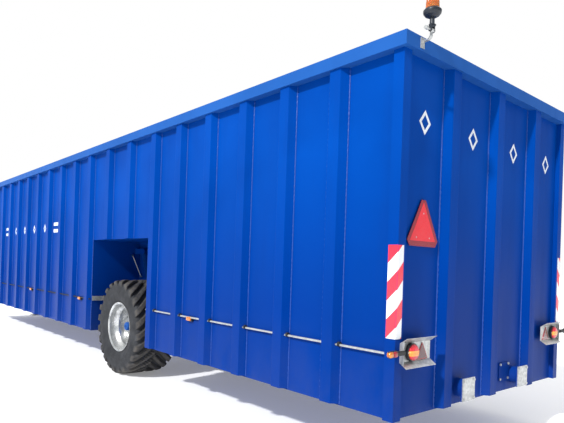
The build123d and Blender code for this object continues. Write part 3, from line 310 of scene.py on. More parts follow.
def make_weather_and_reflection_group():
    """Rain streaks, road dust, slow changes of tone and painted reflection: streaks are noise drawn out
    downwards, dust thickens towards the ground, and the tone from waist height up is told apart from that
    below as painted sky reflection above and painted ground reflection below."""
    group, into, out = new_group("weathering_and_painted_reflection", [("Streaks", 0.4), ("Dust Top", 1.2), ("Dust", 0.4)],
                                 ["Streak Mask", "Dust Mask", "Patch", "Painted Reflection Mask"])
    streak = object_noise(group, 5.0, (1.0, 1.0, 0.07), 6.0, 0.6)
    streak = ranged(group, streak, 0.48, 0.74)
    group.links.new(maths(group, "MULTIPLY", streak, into.outputs["Streaks"]), out.inputs["Streak Mask"])
    height = height_above_ground(group)
    low = ranged(group, height, into.outputs["Dust Top"], 0.0)
    cloud = ranged(group, object_noise(group, 3.1, (1, 1, 0.6), 7.0, 0.7), 0.35, 0.75)
    dust = maths(group, "MULTIPLY", maths(group, "MULTIPLY", low, cloud), into.outputs["Dust"], True)
    group.links.new(dust, out.inputs["Dust Mask"])
    patch = object_noise(group, 0.9, (1, 1, 1), 3.0)
    group.links.new(patch, out.inputs["Patch"])
    # Painted reflection: paint lighter from about 1.7 m up stands in for sky reflection, darker below for
    # ground reflection; the patch noise wavers the edge.
    waver = maths(group, "ADD", height, maths(group, "MULTIPLY", patch, 0.9))
    group.links.new(ranged(group, waver, 1.7, 3.0), out.inputs["Painted Reflection Mask"])
    return group


def make_skin_group():
    """Surface height of painted sheet: slow waves of a welded panel under a fine orange peel."""
    group, into, out = new_group("painted_skin", [("Wave", 0.5), ("Peel", 0.1)], ["Height"])
    wave = maths(group, "MULTIPLY", object_noise(group, 1.6, (1, 1, 0.7), 1.0), into.outputs["Wave"])
    peel = maths(group, "MULTIPLY", object_noise(group, 220.0, detail=2.0), into.outputs["Peel"])
    group.links.new(maths(group, "ADD", wave, peel), out.inputs["Height"])
    return group


def make_scuff_group():
    """Scattered scuffs and chips: thresholded noise at two scales, multiplied together."""
    group, into, out = new_group("scuffs", [("Scale", 12.0), ("Amount", 0.5)], ["Mask"])
    place = group.nodes.new("ShaderNodeTexCoord")
    fine = put(group, "ShaderNodeTexNoise", Detail=8.0, Roughness=0.75)
    group.links.new(place.outputs["Object"], fine.inputs["Vector"])
    group.links.new(into.outputs["Scale"], fine.inputs["Scale"])
    chips = ranged(group, fine.outputs["Fac"], 0.60, 0.70)
    broad = ranged(group, object_noise(group, 2.3), 0.45, 0.65)
    group.links.new(maths(group, "MULTIPLY", maths(group, "MULTIPLY", chips, broad),
                          into.outputs["Amount"]), out.inputs["Mask"])
    return group


def make_spangle_group():
    """Hot-dip zinc: flat crystals as Voronoi cells, clouded by noise, with a faint grain."""
    group, into, out = new_group("zinc_spangle", [("Size", 60.0)], ["Shade", "Height"])
    place = group.nodes.new("ShaderNodeTexCoord")
    cells = put(group, "ShaderNodeTexVoronoi")
    group.links.new(place.outputs["Object"], cells.inputs["Vector"])
    group.links.new(into.outputs["Size"], cells.inputs["Scale"])
    split = group.nodes.new("ShaderNodeSeparateColor")
    group.links.new(cells.outputs["Color"], split.inputs[0])
    cloud = object_noise(group, 9.0, detail=6.0, roughness=0.65)
    shade = maths(group, "ADD", maths(group, "MULTIPLY", split.outputs[0], 0.45),
                  maths(group, "MULTIPLY", cloud, 0.75), True)
    group.links.new(shade, out.inputs["Shade"])
    group.links.new(maths(group, "ADD", maths(group, "MULTIPLY", split.outputs[1], 0.3),
                          object_noise(group, 160.0, detail=3.0)), out.inputs["Height"])
    return group


def make_clouding_group():
    """Soft clouds: noise on Object coordinates, spread from a low level to a high one."""
    group, into, out = new_group("clouding", [("Scale", 10.0), ("Detail", 4.0), ("Roughness", 0.55),
                                              ("Low", 0.3), ("High", 0.7)], ["Mask"])
    noise = noise_from(group, into)
    group.links.new(ranged(group, noise, into.outputs["Low"], into.outputs["High"]), out.inputs["Mask"])
    return group


def make_grain_group():
    """Fine grain: the height is plain noise on Object coordinates."""
    group, into, out = new_group("grain", [("Scale", 300.0), ("Detail", 2.0), ("Roughness", 0.55)],
                                 ["Height"])
    group.links.new(noise_from(group, into), out.inputs["Height"])
    return group


def make_prism_group():
    """A honeycomb of tiny prisms: Voronoi cells, whose distance is the height and, spread out, the
    facet."""
    group, into, out = new_group("prism_cells", [("Scale", 230.0)], ["Facet", "Height"])
    place = group.nodes.new("ShaderNodeTexCoord")
    cells = put(group, "ShaderNodeTexVoronoi")
    group.links.new(place.outputs["Object"], cells.inputs["Vector"])
    group.links.new(into.outputs["Scale"], cells.inputs["Scale"])
    group.links.new(ranged(group, cells.outputs["Distance"], 0.1, 0.7), out.inputs["Facet"])
    group.links.new(cells.outputs["Distance"], out.inputs["Height"])
    return group


WEATHER_AND_PAINTED_REFLECTION = make_weather_and_reflection_group()
SKIN = make_skin_group()
SCUFFS = make_scuff_group()
SPANGLE = make_spangle_group()
CLOUDING = make_clouding_group()
GRAIN = make_grain_group()
PRISMS = make_prism_group()


# ---------------------------------------------------------------------------
# Materials
# ---------------------------------------------------------------------------
def new_material(name, **constants):
    """A material with one Principled shader, its constant sockets set on the shader."""
    material = bpy.data.materials.new(name)
    material.use_nodes = True
    shader = material.node_tree.nodes["Principled BSDF"]
    for label, value in constants.items():
        shader.inputs[label.replace("_", " ")].default_value = value
    return material, material.node_tree, shader


def placed_group(tree, group, **values):
    """A shared group placed in a material with its own values."""
    node = tree.nodes.new("ShaderNodeGroup")
    node.node_tree = group
    for label, value in values.items():
        node.inputs[label.replace("_", " ")].default_value = value
    return node.outputs


def clouds(tree, scale, low=0.3, high=0.7, detail=4.0, roughness=0.55):
    """The clouding group's mask."""
    return placed_group(tree, CLOUDING, Scale=scale, Detail=detail, Roughness=roughness, Low=low,
                        High=high)["Mask"]


def grained(tree, shader, scale, strength, distance, detail=2.0, roughness=0.55):
    """The grain group's height bumped into the shader."""
    grain = placed_group(tree, GRAIN, Scale=scale, Detail=detail, Roughness=roughness)
    bumped(tree, shader, grain["Height"], strength, distance)


def blended(tree, factor, first, second):
    """Two colours mixed by a factor; each may be a colour or a socket."""
    node = tree.nodes.new("ShaderNodeMix")
    node.data_type = "RGBA"
    tree.links.new(factor, node.inputs[0])
    for socket, value in ((node.inputs[6], first), (node.inputs[7], second)):
        if isinstance(value, (tuple, list)):
            socket.default_value = (*value, 1.0)
        else:
            tree.links.new(value, socket)
    return node.outputs[2]


def bumped(tree, shader, height, strength, distance):
    """A Bump node from a height into the shader's Normal."""
    bump = put(tree, "ShaderNodeBump", Strength=strength, Distance=distance)
    tree.links.new(height, bump.inputs["Height"])
    tree.links.new(bump.outputs["Normal"], shader.inputs["Normal"])


ENAMEL_GLOSS = 0.34
ENAMEL_SHEEN = (0.06, 0.36, 1.0, 1.0)
DUST_TOP = 1.2
ROAD_DUST = (0.11, 0.10, 0.085)


def enamel(name, colour, painted_shade_low_colour, dust=0.25, streaks=0.4):
    """Glossy enamel over steel: a lighter tone above as painted sky reflection and a deeper one below as
    painted ground reflection, rain streaks, road dust low down, and a few scuffs."""
    material, tree, shader = new_material(name, Specular_IOR_Level=0.05, Specular_Tint=ENAMEL_SHEEN)
    weather_and_reflection = placed_group(tree, WEATHER_AND_PAINTED_REFLECTION, Streaks=streaks, Dust=dust, Dust_Top=DUST_TOP)
    scuffs = placed_group(tree, SCUFFS, Scale=26.0, Amount=0.5)
    # Painted reflection: the deeper low colour below waist height and the given colour above stand in for
    # ground and sky reflection.
    tone = blended(tree, weather_and_reflection["Painted Reflection Mask"], painted_shade_low_colour, colour)
    patchy = blended(tree, ranged(tree, weather_and_reflection["Patch"], 0.35, 0.7, 0.0, 0.5), tone,
                     tuple(0.8 * c for c in painted_shade_low_colour))
    streaky = blended(tree, maths(tree, "MULTIPLY", weather_and_reflection["Streak Mask"], 0.4), patchy,
                      tuple(0.7 * c + 0.004 for c in painted_shade_low_colour))
    scuffed = blended(tree, maths(tree, "MULTIPLY", scuffs["Mask"], 0.35), streaky,
                      tuple(0.75 * c + 0.03 for c in colour))
    dusty = blended(tree, weather_and_reflection["Dust Mask"], scuffed, ROAD_DUST)
    tree.links.new(dusty, shader.inputs["Base Color"])
    rough = ranged(tree, maths(tree, "ADD", weather_and_reflection["Streak Mask"], weather_and_reflection["Dust Mask"]), 0.0, 1.0,
                   ENAMEL_GLOSS, ENAMEL_GLOSS + 0.35)
    tree.links.new(rough, shader.inputs["Roughness"])
    skin = placed_group(tree, SKIN, Wave=0.6, Peel=0.02)
    bumped(tree, shader, skin["Height"], 0.5, 0.012)
    return material


def zinc(name, light=(0.62, 0.63, 0.62), dark=(0.30, 0.31, 0.31)):
    """Galvanised steel: crystals of slightly different greys, dull where the zinc has aged."""
    material, tree, shader = new_material(name, Metallic=0.6)
    spangle = placed_group(tree, SPANGLE, Size=55.0)
    weather_and_reflection = placed_group(tree, WEATHER_AND_PAINTED_REFLECTION, Streaks=0.5, Dust=0.3, Dust_Top=1.0)
    tone = blended(tree, spangle["Shade"], dark, light)
    aged = blended(tree, maths(tree, "MULTIPLY", weather_and_reflection["Streak Mask"], 0.6), tone, (0.30, 0.30, 0.28))
    tree.links.new(aged, shader.inputs["Base Color"])
    tree.links.new(ranged(tree, spangle["Shade"], 0.0, 1.0, 0.55, 0.32), shader.inputs["Roughness"])
    bumped(tree, shader, spangle["Height"], 0.25, 0.002)
    return material


def tyre_rubber(name):
    """Tyre rubber: near black, brownish dust on the raised lugs, greyer bloom on the sidewall."""
    material, tree, shader = new_material(name, Specular_IOR_Level=0.3)
    raised = tree.nodes.new("ShaderNodeAttribute")
    raised.attribute_name = "raised"
    scuffs = placed_group(tree, SCUFFS, Scale=18.0, Amount=1.0)
    grime = clouds(tree, 14.0, 0.35, 0.7, 8.0, 0.7)
    dusty = maths(tree, "MULTIPLY", maths(tree, "MULTIPLY", raised.outputs["Fac"], grime), 0.75)
    bloom = blended(tree, clouds(tree, 5.0, 0.35, 0.7, 5.0), (0.016, 0.017, 0.020), (0.034, 0.036, 0.041))
    tone = blended(tree, dusty, bloom, (0.125, 0.110, 0.094))
    worn = blended(tree, maths(tree, "MULTIPLY", scuffs["Mask"], 0.6), tone, (0.07, 0.068, 0.066))
    tree.links.new(worn, shader.inputs["Base Color"])
    tree.links.new(ranged(tree, grime, 0.0, 1.0, 0.62, 0.9), shader.inputs["Roughness"])
    grained(tree, shader, 260.0, 0.3, 0.0015, 4.0, 0.7)
    return material


def wheel_silver(name):
    """Silver lacquer on the wheel: bright flakes, brake dust in clouds, and dull drips."""
    material, tree, shader = new_material(name, Metallic=0.75)
    weather_and_reflection = placed_group(tree, WEATHER_AND_PAINTED_REFLECTION, Streaks=0.8, Dust=0.5, Dust_Top=1.2)
    grime = ranged(tree, object_noise(tree, 7.0, (1, 2.5, 1), 7.0, 0.65), 0.42, 0.66)
    tone = blended(tree, grime, (0.64, 0.65, 0.65), (0.27, 0.28, 0.28))
    dusty = blended(tree, weather_and_reflection["Dust Mask"], tone, (0.34, 0.31, 0.27))
    tree.links.new(dusty, shader.inputs["Base Color"])
    tree.links.new(ranged(tree, grime, 0, 1, 0.24, 0.5), shader.inputs["Roughness"])
    grained(tree, shader, 300.0, 0.15, 0.0008)
    return material


def moulding(name, colour, shade, roughness=0.45, grain=400.0, strength=0.2):
    """Moulded rubber or plastic with a fine grain and a little grey bloom."""
    material, tree, shader = new_material(name)
    bloom = clouds(tree, 16.0, 0.35, 0.75, 6.0, 0.65)
    tree.links.new(blended(tree, bloom, colour, shade), shader.inputs["Base Color"])
    tree.links.new(ranged(tree, bloom, 0, 1, roughness, roughness + 0.25), shader.inputs["Roughness"])
    grained(tree, shader, grain, strength, 0.0008)
    return material


def lens_plastic(name, colour, deep, transmission=0.55, flutes=300.0):
    """Clear coloured lens: deeper colour in clouds, fine prisms as waves in its height."""
    material, tree, shader = new_material(name, Roughness=0.12, IOR=1.49,
                                          Transmission_Weight=transmission, Coat_Weight=0.6,
                                          Coat_Roughness=0.05)
    cloud = clouds(tree, 45.0, detail=3.0)
    tree.links.new(blended(tree, cloud, colour, deep), shader.inputs["Base Color"])
    place = tree.nodes.new("ShaderNodeTexCoord")
    waves = put(tree, "ShaderNodeTexWave", wave_type="BANDS", bands_direction="Y", Scale=flutes / 20)
    tree.links.new(place.outputs["Object"], waves.inputs["Vector"])
    bumped(tree, shader, waves.outputs["Fac"], 0.35, 0.002)
    return material


def prism_film(name, colour, deep, cell=230.0):
    """Reflective film or reflector: a honeycomb of tiny prisms, lighter at their middles."""
    material, tree, shader = new_material(name, Coat_Weight=0.7, Coat_Roughness=0.08)
    prisms = placed_group(tree, PRISMS, Scale=cell)
    facet = prisms["Facet"]
    tree.links.new(blended(tree, facet, colour, deep), shader.inputs["Base Color"])
    tree.links.new(ranged(tree, facet, 0, 1, 0.18, 0.35), shader.inputs["Roughness"])
    bumped(tree, shader, prisms["Height"], 0.4, 0.001)
    return material


def hazard_film(name, period=0.282):
    """Red and white stripes at forty-five degrees on the strip's own unrolled UV, over a prism
    honeycomb. A stripe is red where the rise less the width, in periods, has a remainder under a
    half."""
    material, tree, shader = new_material(name, Coat_Weight=0.5, Coat_Roughness=0.12)
    place = tree.nodes.new("ShaderNodeUVMap")
    place.uv_map = "unrolled"
    split = tree.nodes.new("ShaderNodeSeparateXYZ")
    tree.links.new(place.outputs["UV"], split.inputs[0])
    lean = maths(tree, "SUBTRACT", split.outputs["Y"], split.outputs["X"])
    stripe = maths(tree, "FRACT", maths(tree, "DIVIDE", lean, period))
    red = maths(tree, "LESS_THAN", stripe, 0.5)
    prisms = placed_group(tree, PRISMS, Scale=260.0)
    facet = prisms["Facet"]
    scuffs = placed_group(tree, SCUFFS, Scale=40.0, Amount=0.7)
    tone = blended(tree, red, (0.82, 0.84, 0.86), (0.82, 0.012, 0.045))
    shaded = blended(tree, maths(tree, "MULTIPLY", facet, 0.12), tone, (0.2, 0.05, 0.06))
    worn = blended(tree, maths(tree, "MULTIPLY", scuffs["Mask"], 0.5), shaded, (0.35, 0.33, 0.32))
    tree.links.new(worn, shader.inputs["Base Color"])
    tree.links.new(ranged(tree, facet, 0, 1, 0.25, 0.4), shader.inputs["Roughness"])
    bumped(tree, shader, prisms["Height"], 0.15, 0.0008)
    return material


def tail_lens(name, middle_rise):
    """Tail lamp lens: red above and below, with an amber band across its middle."""
    material, tree, shader = new_material(name, Roughness=0.1, IOR=1.49, Transmission_Weight=0.05,
                                          Coat_Weight=0.7, Coat_Roughness=0.05)
    rise = maths(tree, "SUBTRACT", height_above_ground(tree), middle_rise)
    band = maths(tree, "MULTIPLY", maths(tree, "GREATER_THAN", rise, -0.026),
                 maths(tree, "LESS_THAN", rise, 0.014))
    cloud = clouds(tree, 60.0, detail=3.0)
    red = blended(tree, cloud, (0.85, 0.012, 0.035), (0.55, 0.006, 0.02))
    amber = blended(tree, cloud, (1.0, 0.42, 0.05), (0.95, 0.24, 0.02))
    tree.links.new(blended(tree, band, red, amber), shader.inputs["Base Color"])
    place = tree.nodes.new("ShaderNodeTexCoord")
    waves = put(tree, "ShaderNodeTexWave", wave_type="BANDS", bands_direction="Z", Scale=38.0)
    tree.links.new(place.outputs["Object"], waves.inputs["Vector"])
    bumped(tree, shader, waves.outputs["Fac"], 0.5, 0.002)
    return material


def bright_steel(name, colour, deep, roughness=0.28):
    """Turned or chromed steel, with faint rings and smears of oil."""
    material, tree, shader = new_material(name, Metallic=1.0)
    smear = ranged(tree, object_noise(tree, 20.0, (1, 1, 5), 5.0, 0.6), 0.3, 0.75)
    tree.links.new(blended(tree, smear, colour, deep), shader.inputs["Base Color"])
    tree.links.new(ranged(tree, smear, 0, 1, roughness, roughness + 0.22), shader.inputs["Roughness"])
    grained(tree, shader, 340.0, 0.12, 0.0006)
    return material


def weld_metal(name, colour, shade):
    """Painted weld beads: the body's enamel, with painted shade darkening the hollows between the ripples."""
    material, tree, shader = new_material(name, Coat_Weight=0.2, Coat_Roughness=0.3)
    ripple = object_noise(tree, 130.0, detail=3.0)
    # Painted shade: hollows of the ripple noise take the darker colour.
    tone = blended(tree, ranged(tree, ripple, 0.35, 0.65), shade, colour)
    tree.links.new(tone, shader.inputs["Base Color"])
    tree.links.new(ranged(tree, ripple, 0, 1, 0.3, 0.55), shader.inputs["Roughness"])
    bumped(tree, shader, ripple, 0.7, 0.004)
    return material


BODY = (0.0006, 0.056, 0.330)
# Painted shade: the body blue deepened below waist height, standing in for ground reflection.
BODY_PAINTED_SHADE_LOW = (0.0004, 0.033, 0.235)
MATERIALS = {
    "body_blue": enamel("body enamel", BODY, BODY_PAINTED_SHADE_LOW),
    # The rim rail's blue is the body paint made lighter as painted sky reflection.
    "rim_blue": enamel("rim rail enamel with painted sky reflection", (0.018, 0.098, 0.36), (0.012, 0.08, 0.31), dust=0.1),
    "axle_blue": enamel("axle enamel", (0.002, 0.045, 0.22), (0.002, 0.032, 0.17), 0.7, 0.6),
    "hub_blue": enamel("hub enamel", (0.02, 0.10, 0.36), (0.018, 0.085, 0.32), dust=0.3),
    "silver_rim": wheel_silver("wheel silver"),
    "galvanised": zinc("galvanised steel"),
    "tyre": tyre_rubber("tyre rubber"),
    "rubber": moulding("black rubber", (0.008, 0.008, 0.009), (0.022, 0.022, 0.023), 0.5),
    "black_plastic": moulding("black plastic", (0.006, 0.009, 0.016), (0.018, 0.024, 0.034), 0.28),
    "amber_lens": lens_plastic("amber lens", (0.80, 0.27, 0.02), (0.42, 0.09, 0.006), 0.1),
    "red_lens": lens_plastic("red lens", (0.42, 0.008, 0.018), (0.18, 0.003, 0.008), 0.15),
    "hazard_film": hazard_film("hazard film"),
    "sign_red": prism_film("sign border film", (0.42, 0.005, 0.018), (0.20, 0.003, 0.010)),
    "machined_steel": bright_steel("machined steel", (0.56, 0.57, 0.58), (0.32, 0.32, 0.32)),
    "chrome_rod": bright_steel("hard chrome", (0.82, 0.83, 0.84), (0.6, 0.6, 0.6), 0.08),
    "mirror": bright_steel("beacon mirror", (0.92, 0.92, 0.90), (0.8, 0.78, 0.72), 0.05),
}
SIGN_FACE = prism_film("sign face film", (0.92, 0.016, 0.026), (0.68, 0.008, 0.014))
REFLECTOR = prism_film("reflector prisms", (0.16, 0.003, 0.012), (0.045, 0.001, 0.004), 150.0)
MARK_WHITE = moulding("white mark paint", (0.80, 0.82, 0.84), (0.66, 0.69, 0.73), 0.35, 260.0, 0.1)
WELD = weld_metal("weld bead enamel", BODY, BODY_PAINTED_SHADE_LOW)

for entry in frame["record"]["subparts"]:
    node = frame["nodes"][entry["node"]]
    node.data.materials.clear()
    node.data.materials.append(MATERIALS[entry["material_slot"]])


# ---------------------------------------------------------------------------
# Wheels
# ---------------------------------------------------------------------------
LUGS = 24
LUG_HEIGHT = 0.038
TYRE_STEPS = 750
TYRE_COLUMNS = 110
BEAD_RADIUS = 0.3375
RIM_HALF = 0.290
DISC_FACE = -0.050
CAP_FACE = -0.178


def tyre_surface(centre):
    """The tyre on a grid of turn and section: the section is a smooth line from bead to bead, and
    lugs lift the tread where the turn, leaned back with the distance from the middle, falls in the
    bar's share of its pitch. Lugs fade out down the shoulder. Low rings run round the sidewall."""
    crown = tyre_radius - LUG_HEIGHT
    half = tyre_half
    outer_half = [(BEAD_RADIUS, 0.046 - half), (0.360, 0.0455 - half), (0.384, 0.028 - half),
                  (0.437, 0.009 - half), (0.500, 0.001 - half), (0.575, 0.004 - half),
                  (crown - 0.022, 0.022 - half), (crown - 0.005, 0.058 - half),
                  (crown, 0.150 - half), (crown, 0)]
    section = smooth_line(outer_half + [(r, -w) for r, w in outer_half[-2::-1]], TYRE_COLUMNS)
    turn = np.linspace(0, TURN, TYRE_STEPS, endpoint=False)[:, None]
    radius, width = section[None, :, 0], section[None, :, 1]
    reach = np.abs(width) / half
    lead = 1.9 * reach + np.where(width < 0, 0.0, 0.5)
    phase = (turn / TURN * LUGS + lead) % 1.0
    share = 0.46 + 0.10 * reach
    bar = smooth_step(0.0, 0.06, phase) * (1 - smooth_step(share, share + 0.06, phase))
    middle_gap = smooth_step(0.0, 0.02, np.abs(width) + 0.012 * (phase < 0.3))
    shoulder = smooth_step(crown - 0.060, crown - 0.014, radius)
    lift = LUG_HEIGHT * bar * shoulder * middle_gap
    slope = np.gradient(section, axis=0)
    normal = np.stack([slope[:, 1], -slope[:, 0]], axis=1)
    normal /= np.linalg.norm(normal, axis=1)[:, None]
    rings = 0.0022 * (np.abs(((section[:, 0] - 0.40) / 0.030) % 1.0 - 0.5) < 0.10) * (
        (section[:, 0] > 0.40) & (section[:, 0] < 0.52))
    lift = lift + rings[None, :]
    radius = np.minimum(radius + lift * normal[None, :, 0], tyre_radius)
    width = np.clip(width + lift * normal[None, :, 1], -half, half)
    points = np.stack([centre[0] + radius * np.cos(turn), centre[1] + width + 0 * turn,
                       centre[2] + radius * np.sin(turn)], axis=-1)
    return points, (bar * shoulder * middle_gap * np.ones_like(radius)).ravel()


def make_tyre(side, centre, outward):
    """One tyre, with the height of its lugs kept as an attribute for the dust."""
    points, raised = tyre_surface((centre[0], centre[1] * outward, centre[2]))
    vertices, faces = grid(points * np.array([1, outward, 1]), loop_rows=True)
    mesh = bpy.data.meshes.new(f"tyre_tread_{side}")
    mesh.from_pydata(vertices.tolist(), [], (faces if outward > 0 else faces[:, ::-1]).tolist())
    layer = mesh.attributes.new("raised", "FLOAT", "POINT")
    layer.data.foreach_set("value", raised.astype(np.float32))
    mesh.polygons.foreach_set("use_smooth", np.ones(len(mesh.polygons), dtype=bool))
    mesh.set_sharp_from_angle(angle=math.radians(32))
    obj = bpy.data.objects.new(f"tyre_tread_{side}", mesh)
    bpy.context.scene.collection.objects.link(obj)
    mesh.materials.append(MATERIALS["tyre"])
    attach(obj, f"wheel_{side}")
    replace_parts(obj, f"tyre_{side}")


def rim_profile():
    """The wheel rim's section as a closed line of (radius, width): rolled lip, bead seat, drop
    centre and far lip, then back along its outside; widths run from the road side inwards."""
    lip = RIM_HALF
    inside = [(0.356, -lip), (0.345, 0.002 - lip), (0.3285, 0.012 - lip), (0.3245, 0.074 - lip),
              (0.317, 0.090 - lip), (0.290, 0.120 - lip), (0.276, 0.132 - lip), (0.274, -0.02)]
    inside += [(0.274, lip - 0.132), (0.317, lip - 0.090), (0.3245, lip - 0.070), (0.3285, lip - 0.012),
               (0.345, lip - 0.002), (0.356, lip)]
    back = [(0.358, lip - 0.008), (0.352, lip - 0.014), (0.3365, lip - 0.018), (0.333, lip - 0.080),
            (0.285, lip - 0.130)]
    return inside + back + [(r, -w) for r, w in reversed(back)] + inside[:1]


def disc_profile():
    """The wheel disc's section: a shallow cone from the drop centre to the hub's seat."""
    face = [(0.275, 0.030), (0.262, 0.026), (0.235, 0.012), (0.205, 0.001), (0.141, 0.0)]
    back = [(0.141, 0.014), (0.205, 0.015), (0.240, 0.028), (0.275, 0.044)]
    return [(r, DISC_FACE + w) for r, w in face + back + face[:1]]


def make_wheel(side, outward):
    """Rim, disc with its nuts, and hub with its cap, on the wheel's axle."""
    centre = (wheel_centre.x, wheel_centre.y * outward, wheel_centre.z)
    axle = (0, outward, 0)
    road_side = (0, -outward, 0)
    make_tyre(side, centre, outward)
    piece(f"rim_{side}", [turned(rim_profile(), centre, axle, 144),
                           turned(disc_profile(), centre, axle, 144)],
          MATERIALS["silver_rim"], f"wheel_{side}", "silver_rim", [f"wheel_rim_{side}"], 40)
    cap = [(0, CAP_FACE), (0.040, CAP_FACE + 0.0005), (0.052, CAP_FACE + 0.003), (0.058, CAP_FACE + 0.009),
           (0.0615, CAP_FACE + 0.018), (0.0615, DISC_FACE - 0.031), (0.085, DISC_FACE - 0.025),
           (0.085, DISC_FACE - 0.012), (0.122, DISC_FACE - 0.006), (0.139, DISC_FACE - 0.002),
           (0.139, DISC_FACE + 0.014), (0.19, DISC_FACE + 0.014), (0.19, DISC_FACE + 0.034),
           (0.086, 0.014), (0.085, 0.184), (0.0655, 0.184), (0.0655, DISC_FACE - 0.005),
           (0.045, CAP_FACE + 0.080), (0, CAP_FACE + 0.080)]
    face = np.array(centre) + (0, outward * CAP_FACE, 0)
    piece(f"hub_{side}", [turned(cap, centre, axle, 72), six_sided(face, road_side, 0.016, 0.006)],
          MATERIALS["hub_blue"], f"wheel_{side}", "hub_blue", [f"wheel_hub_{side}"], 30)
    nuts, stud = [], [(0, 0), (0.010, 0), (0.010, 0.030), (0.008, 0.033), (0, 0.033)]
    for angle in np.arange(10) * TURN / 10:
        seat = np.array(centre) + (0.1675 * math.cos(angle), DISC_FACE * outward, 0.1675 * math.sin(angle))
        nuts += [six_sided(seat, road_side, 0.017, 0.020), turned(stud, seat, road_side, 16)]
    piece(f"wheel_nuts_{side}", nuts, MATERIALS["galvanised"], f"wheel_{side}", "galvanised")


make_wheel("left", 1.0)
make_wheel("right", -1.0)


# ---------------------------------------------------------------------------
# Weld beads along the folded ribs
# ---------------------------------------------------------------------------
def weld_bead(start, end, outward, width=0.012, seed=1):
    """A weld bead: a half-round section carried from one end to the other, its radius rippled by
    two sines and a little seeded noise."""
    start, end = np.asarray(start, float), np.asarray(end, float)
    length = np.linalg.norm(end - start)
    count = max(int(length / 0.014), 8)
    t = np.linspace(0, 1, count)
    noise = np.random.default_rng(seed).normal(0, 1, count)
    radius = width / 2 * (1 + 0.22 * np.sin(t * length / 0.045 * TURN) + 0.12 * noise)
    axis = (end - start) / length
    outward = np.asarray(outward, float)
    side = np.cross(axis, outward)
    angle = np.linspace(-0.15 * math.pi, 1.15 * math.pi, 6)
    section = np.cos(angle)[:, None] * side + np.sin(angle)[:, None] * outward
    points = start + t[:, None, None] * (end - start) + radius[:, None, None] * section[None]
    return grid(points)


def side_beads(runs, low, high, seed):
    """Beads where each rib's two flanks meet the left wall's plate."""
    beads = []
    for i, run in enumerate(runs):
        for side in (-1, 1):
            x = rear_face - run + side * (RIB_BASE_HALF + 0.001)
            beads.append(weld_bead((x, side_panel - 0.001, low), (x, side_panel - 0.001, high),
                                   (side * 0.5, -0.87, 0), seed=seed + 7 * i + side))
    return beads


BEAD_GROUPS = (("rear", rear_ribs, underside + RIB_LIFT), ("arch", arch_ribs, arch_low),
               ("front", front_ribs, underside + RIB_LIFT))
for number, (stretch, runs, low) in enumerate(BEAD_GROUPS):
    beads = side_beads(runs, low, rib_top - 0.004, 100 * number + 5)
    piece(f"weld_beads_left_{stretch}", beads, WELD, "container", "body_blue")
    piece(f"weld_beads_right_{stretch}", mirrored(beads), WELD, "container", "body_blue")

rear_beads = []
for i, place in enumerate((-END_RIB_PITCH, 0.0, END_RIB_PITCH)):
    for side in (-1, 1):
        y = place + side * (RIB_BASE_HALF + 0.001)
        rear_beads.append(weld_bead((rear_panel + 0.001, y, underside + RIB_LIFT),
                                    (rear_panel + 0.001, y, rib_top - 0.004), (0.87, side * 0.5, 0),
                                    seed=900 + 3 * i + side))
piece("weld_beads_rear", rear_beads, WELD, "container", "body_blue")


# ---------------------------------------------------------------------------
# Hazard strips, warning triangle and plain marks
# ---------------------------------------------------------------------------
STRIP_ALONG_SIDE = 0.087
STRIP_ALONG_REAR = 0.070
STRIP_BEND = 0.006
STRIP_FRONT = 0.0016
STRIP_THICKNESS = 0.0014
STRIP_ROWS = 24


def make_strip(side):
    """A strip wrapped round the rear post: its height by its unrolled width on a grid, turned
    through a small quarter circle at the post's corner, with the unrolled size as its UV."""
    low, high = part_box("hazard_strips")
    corner_x, corner_y = post_high.x, post_low.y
    bend, out = STRIP_BEND, STRIP_FRONT
    angle = np.linspace(0, math.pi / 2, 6)[1:-1]
    flat = STRIP_ALONG_SIDE - bend
    run = np.concatenate([np.linspace(0, flat, 8), flat + bend * angle,
                          np.linspace(STRIP_ALONG_SIDE + 0.003, STRIP_ALONG_SIDE + STRIP_ALONG_REAR, 8)])
    x = np.concatenate([np.linspace(corner_x - STRIP_ALONG_SIDE, corner_x - bend, 8),
                        corner_x - bend + (bend + out) * np.sin(angle), np.full(8, corner_x + out)])
    y = np.concatenate([np.full(8, corner_y - out), corner_y + bend - (bend + out) * np.cos(angle),
                        np.linspace(corner_y + bend, corner_y + STRIP_ALONG_REAR, 8)])
    rise = np.linspace(low.z, high.z, STRIP_ROWS)[:, None]
    back_x = x - STRIP_THICKNESS * (x > corner_x - bend)
    back_y = y + STRIP_THICKNESS * (y < corner_y + bend)
    ring_x, ring_y = np.concatenate([x, back_x[::-1]]), np.concatenate([y, back_y[::-1]])
    ring_run = np.concatenate([run, run[::-1]])
    shape = (STRIP_ROWS, len(ring_x))
    points = np.stack([np.broadcast_to(values, shape) for values in (ring_x, ring_y, rise)], axis=-1)
    if side == "right":
        points = points * np.array([1, -1, 1])
    vertices, faces = grid(points, loop_columns=True)
    if side == "left":
        faces = faces[:, ::-1]
    unrolled = np.stack([np.broadcast_to(ring_run, shape), np.broadcast_to(rise - low.z, shape)],
                        axis=-1).reshape(-1, 2)
    mesh = bpy.data.meshes.new(f"hazard_strip_{side}")
    mesh.from_pydata(vertices.tolist(), [], faces.tolist())
    layer = mesh.uv_layers.new(name="unrolled")
    layer.data.foreach_set("uv", unrolled[faces.ravel()].astype(np.float32).ravel())
    mesh.polygons.foreach_set("use_smooth", np.ones(len(mesh.polygons), dtype=bool))
    mesh.set_sharp_from_angle(angle=math.radians(50))
    obj = bpy.data.objects.new(f"hazard_strip_{side}", mesh)
    bpy.context.scene.collection.objects.link(obj)
    mesh.materials.append(MATERIALS["hazard_film"])
    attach(obj, "container")
    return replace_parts(obj, "hazard_strips")


for side in ("left", "right"):
    make_strip(side)


